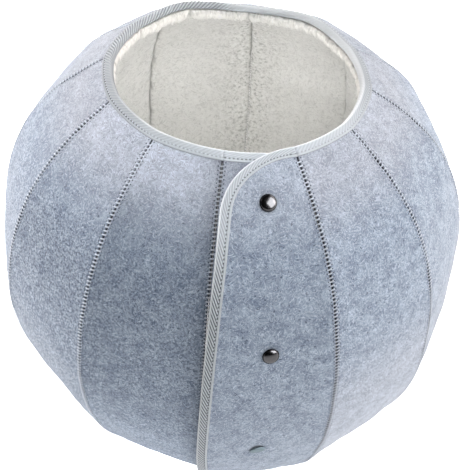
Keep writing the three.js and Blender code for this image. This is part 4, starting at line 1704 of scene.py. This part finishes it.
flap_sections = edge_sections(
    flap_place, flap_edge(FLAP_TAPE_TURN, RUN_STEP), flap_across, 1, RIM_SECTION.ring)
underlap_sections = edge_sections(
    underlap_place, underlap_edge(UNDERLAP_TAPE_TURN, RUN_STEP), underlap_across, 0, RIM_SECTION.ring)
flap_looks = edge_looks(flap_sections, FLAP_END_RIB)
underlap_looks = edge_looks(underlap_sections, UNDERLAP_END_RIB)
carry_tape("flap_tape", "binding_flap", flap_sections, RIM_SECTION, 1, flap_looks)
carry_tape("underlap_tape", "binding_underlap", underlap_sections, RIM_SECTION, -1, underlap_looks)

# %% [markdown]
# Stitches
# Every panel seam is closed by a ladder of pale thread: short bars that cross the groove and dive into the
# felt on each side. Between the bars the groove shows as dark dots. The tape is held by a running stitch near
# its edge. Curves with a bevel would be easy to draw, but there are thousands of stitches, so each is a
# small bent tube made from arrays, and the tubes of one seam are joined into one piece.

# %% Thread tubes
TUBE_END = 0.45


def tubes(paths, normals, radius, sides):
    """Joins one tube per path. paths is [tube][point][3], normals gives a side direction per tube."""
    count, length = paths.shape[:2]
    ahead = np.gradient(paths, axis=1)
    ahead = ahead / np.linalg.norm(ahead, axis=-1, keepdims=True)
    first = np.cross(ahead, normals[:, None, :])
    first = first / np.linalg.norm(first, axis=-1, keepdims=True)
    second = np.cross(first, ahead)
    turn = np.linspace(0, 2 * math.pi, sides, endpoint=False)
    taper = np.full(length, radius)
    taper[[0, -1]] = radius * TUBE_END
    circle = first[:, :, None] * np.cos(turn)[:, None] + second[:, :, None] * np.sin(turn)[:, None]
    points = paths[:, :, None] + circle * taper[None, :, None, None]
    index = np.arange(count * length * sides).reshape(count, length, sides)
    following = np.roll(index, -1, axis=2)
    faces = quads(index[:, :-1], following[:, :-1], following[:, 1:], index[:, 1:]).tolist()
    faces += index[:, 0].tolist() + index[:, -1, ::-1].tolist()
    tape = np.zeros((*index.shape, 3))
    passed = np.linalg.norm(np.diff(paths, axis=1, prepend=paths[:, :1]), axis=-1)
    tape[..., 0] = np.cumsum(passed, axis=1)[:, :, None]
    tape[..., 1] = turn * radius
    return points.reshape(-1, 3), faces, tape.reshape(-1, 3)


def add_thread(name, paths, normals, radius, sides, tone):
    points, faces, tape = tubes(paths, normals, radius, sides)
    values = {"tape": tape, "tone_and_painted_light": np.full(len(points), tone)}
    return add_piece(name, points, faces, THREAD_FINISH, values)


print("thread tubes ready")

# %% Seam ladders
BAR_RADIUS = 0.32 * MM
BAR_SIDES = 6
BAR_WANDER = 0.10 * MM
# Depth of a bar from end to end. Below 0 it stands proud of the felt.
BAR_SHAPE = np.array([0.75, -0.25, -0.45, -0.35, -0.45, -0.25, 0.75]) * MM
# Each bar is two strands: slant, extra depth and shift along the seam.
STRANDS_OF_BAR = [(0.3 * MM, 0.0, -0.34 * MM), (0.5 * MM, 0.12 * MM, 0.34 * MM)]
LADDER_SEED = 700
# Painted light and shade of the thread: darker at the seam beside the flap, paler at the seams lit from the
# left.
PAINTED_THREAD_LIGHT = {0: 0.65, 10: 1.15, 11: 1.2}


def seam_place(seam, offset, up, depth):
    """A place beside a seam: offset is negative on the panel before it."""
    width = panel_width(up)
    before = flap_place if seam == 1 else plain_place
    after = underlap_place if seam == 0 else plain_place
    left = before(seam - 1, 1 + np.minimum(offset, 0) / width, up, depth)
    right = after(seam, np.maximum(offset, 0) / width, up, depth)
    return np.where((offset < 0)[..., None], left, right)


def seam_ladder(seam):
    bars = np.arange(LADDER_START, WALL_LENGTH - LADDER_START, BAR_PITCH)
    wander = np.random.default_rng(LADDER_SEED + seam).normal(0, BAR_WANDER, (len(bars), 2))
    share = np.linspace(-1, 1, len(BAR_SHAPE))
    paths = []
    for slant, deeper, shift in STRANDS_OF_BAR:
        up = bars[:, None] + shift + slant * share + wander[:, :1]
        offset = np.broadcast_to(BAR_HALF * share, up.shape) + wander[:, 1:]
        paths.append(seam_place(seam, offset, up, np.broadcast_to(BAR_SHAPE + deeper, up.shape)))
    paths = np.concatenate(paths)
    outward = paths[:, len(BAR_SHAPE) // 2] - np.array([0, 0, BODY_PLACE[2]])
    outward = outward / np.linalg.norm(outward, axis=-1, keepdims=True)
    tone = PAINTED_THREAD_LIGHT.get(seam, 1.0)
    return add_thread(f"seam_stitches_{seam:02d}", paths, outward, BAR_RADIUS, BAR_SIDES, tone)


ladders = [seam_ladder(seam) for seam in range(PANELS)]
print("seam ladders:", len(ladders), "with", len(ladders[0].data.polygons), "faces each")

# %% Running stitches on the tapes
RUN_RADIUS = 0.24 * MM
RUN_SIDES = 5
RUN_START = 2.45 * MM
RUN_STOP = 3 * MM
RUN_LENGTH = STITCH_PITCH - 1.5 * MM
RUN_SHARE = np.array([0, 0.12, 0.5, 0.88, 1])
RUN_SINK = np.array([0.5, 0.0, -0.2, 0.0, 0.5]) * MM  # below 0 a stitch stands proud of the tape


def tape_stitches(name, sections, section):
    """Dashes on both legs of a tape, along its stitch line."""
    outer_leg = int(np.argmin(np.abs(section.inset[:LEG_POINTS] - STITCH_INSET)))
    inner_leg = FACE_POINTS - 1 - outer_leg
    along = along_tape(sections)
    starts = np.arange(RUN_START, along[-1] - RUN_STOP, STITCH_PITCH)
    at = starts[:, None] + RUN_SHARE * RUN_LENGTH
    paths = []
    normals = []
    for leg, reverse in ((outer_leg, sections.shape[1] - 2), (inner_leg, FACE_POINTS + 1)):
        line = sections[:, leg]
        outward = line - sections[:, reverse]
        outward = outward / np.linalg.norm(outward, axis=-1, keepdims=True)
        here = np.stack([np.interp(at, along, line[:, k]) for k in range(3)], -1)
        away = np.stack([np.interp(at, along, outward[:, k]) for k in range(3)], -1)
        paths.append(here - away * RUN_SINK[None, :, None])
        normals.append(away[:, len(RUN_SHARE) // 2])
    return add_thread(name, np.concatenate(paths), np.concatenate(normals), RUN_RADIUS, RUN_SIDES, 1.0)


runs = [
    tape_stitches("rim_stitches", rim_sections, RIM_SECTION),
    tape_stitches("hem_stitches", hem_sections, HEM_SECTION),
    tape_stitches("flap_stitches", flap_sections, RIM_SECTION),
    tape_stitches("underlap_stitches", underlap_sections, RIM_SECTION),
]
print("tape stitch runs:", len(runs))

# %% [markdown]
# Snap caps
# A cap is a turned form: a rolled rim, a small step and a dome. A sphere cut flat would miss the rim, so a
# lathe in code turns the profile, and the cap is set on the flap along the cloth's own normal, as the solid
# is. The lowest cap keeps its size, but its dome is lower, and it is tipped and sunk into its dent.

# %% Form of a cap
SNAP_RADIUS = 7.5 * MM
SNAP_HEIGHT = 3.6 * MM
ROLL_RADIUS = 0.75 * MM
ROLL_FROM = -0.5 * math.pi
ROLL_TO = 0.42 * math.pi
DOME_FOOT = 1.35 * MM
DOME_INSET = 0.85 * MM
DOME_POWER = 1.15
ROLL_POINTS = 9
DOME_POINTS = 14
CAP_SIDES = 64


def cap_profile(dome_height):
    """Radius and height from the back, round the rolled rim and over the dome, without its top."""
    roll = np.linspace(ROLL_FROM, ROLL_TO, ROLL_POINTS)
    rim_radius = SNAP_RADIUS - ROLL_RADIUS + ROLL_RADIUS * np.cos(roll)
    rim_height = ROLL_RADIUS + ROLL_RADIUS * np.sin(roll)
    turn = np.linspace(0, 1, DOME_POINTS)[:-1] * math.pi / 2
    dome_radius = (SNAP_RADIUS - DOME_INSET) * np.cos(turn)
    dome_rise = DOME_FOOT + dome_height * np.sin(turn) ** DOME_POWER
    return np.concatenate([rim_radius, dome_radius]), np.concatenate([rim_height, dome_rise])


def turned_cap(radius, height, top):
    """Points and faces of a lathe form with a closed back and a point on top."""
    turn = np.linspace(0, 2 * math.pi, CAP_SIDES, endpoint=False)
    x = radius[:, None] * np.cos(turn)
    y = radius[:, None] * np.sin(turn)
    shell = np.stack([x, y, np.broadcast_to(height[:, None], x.shape)], -1).reshape(-1, 3)
    index = np.arange(len(shell)).reshape(-1, CAP_SIDES)
    following = np.roll(index, -1, axis=1)
    faces = quads(index[:-1], following[:-1], following[1:], index[1:]).tolist()
    faces += [[int(a), int(b), len(shell)] for a, b in zip(index[-1], following[-1])]
    faces.append(index[0, ::-1].tolist())
    return np.vstack([shell, [[0, 0, top]]]), faces


print("points of the profile:", ROLL_POINTS + DOME_POINTS)

# %% Snap caps
ROLL_BAND = (6.5 * MM, 6.9 * MM)  # radii over which the dark rolled rim begins


def snap_seat(snap):
    """Place of a snap on the flap and the direction that its cap faces."""
    up = WALL_LENGTH - snap.below_rim
    reach = SNAP_RADIUS / float(panel_width(up))
    spots_across = snap.across + reach * np.array([0, 0, 0, 1, -1])
    spots_up = up + SNAP_RADIUS * np.array([0, 1, -1, 0, 0])
    seat, above, below, right, left = flap_place(0, spots_across, spots_up, np.zeros_like(spots_up))
    normal = Vector(np.cross(right - left, above - below)).normalized()
    return seat, Quaternion(Vector(right - left), math.radians(snap.tip)) @ normal


def snap_cap(snap):
    dome_height = snap.rise * (SNAP_HEIGHT - DOME_FOOT)
    radius, height = cap_profile(dome_height)
    points, faces = turned_cap(radius, height, DOME_FOOT + dome_height)
    seat, normal = snap_seat(snap)
    spin = np.array(normal.to_track_quat("Z", "Y").to_matrix())
    points = points @ spin.T + seat + np.array(normal) * (GAP - snap.sink)
    # The rolled rim is painted near black as a painted shadow.
    rolled = np.append(np.repeat(smooth_step(radius, *ROLL_BAND), CAP_SIDES), 0.0)
    values = {"roll": rolled * (1 - 2 * snap.dullness)}
    values["tone_and_painted_light"] = np.full(len(points), snap.tone)
    values["dull"] = np.full(len(points), snap.dullness)
    name = f"snap_dome_{snap.name}"
    return add_piece(name, points, faces, SNAP_FINISH, values, f"snap_cap_{snap.name}")


caps = [snap_cap(snap) for snap in SNAPS]
print("snap caps:", [cap.name for cap in caps])
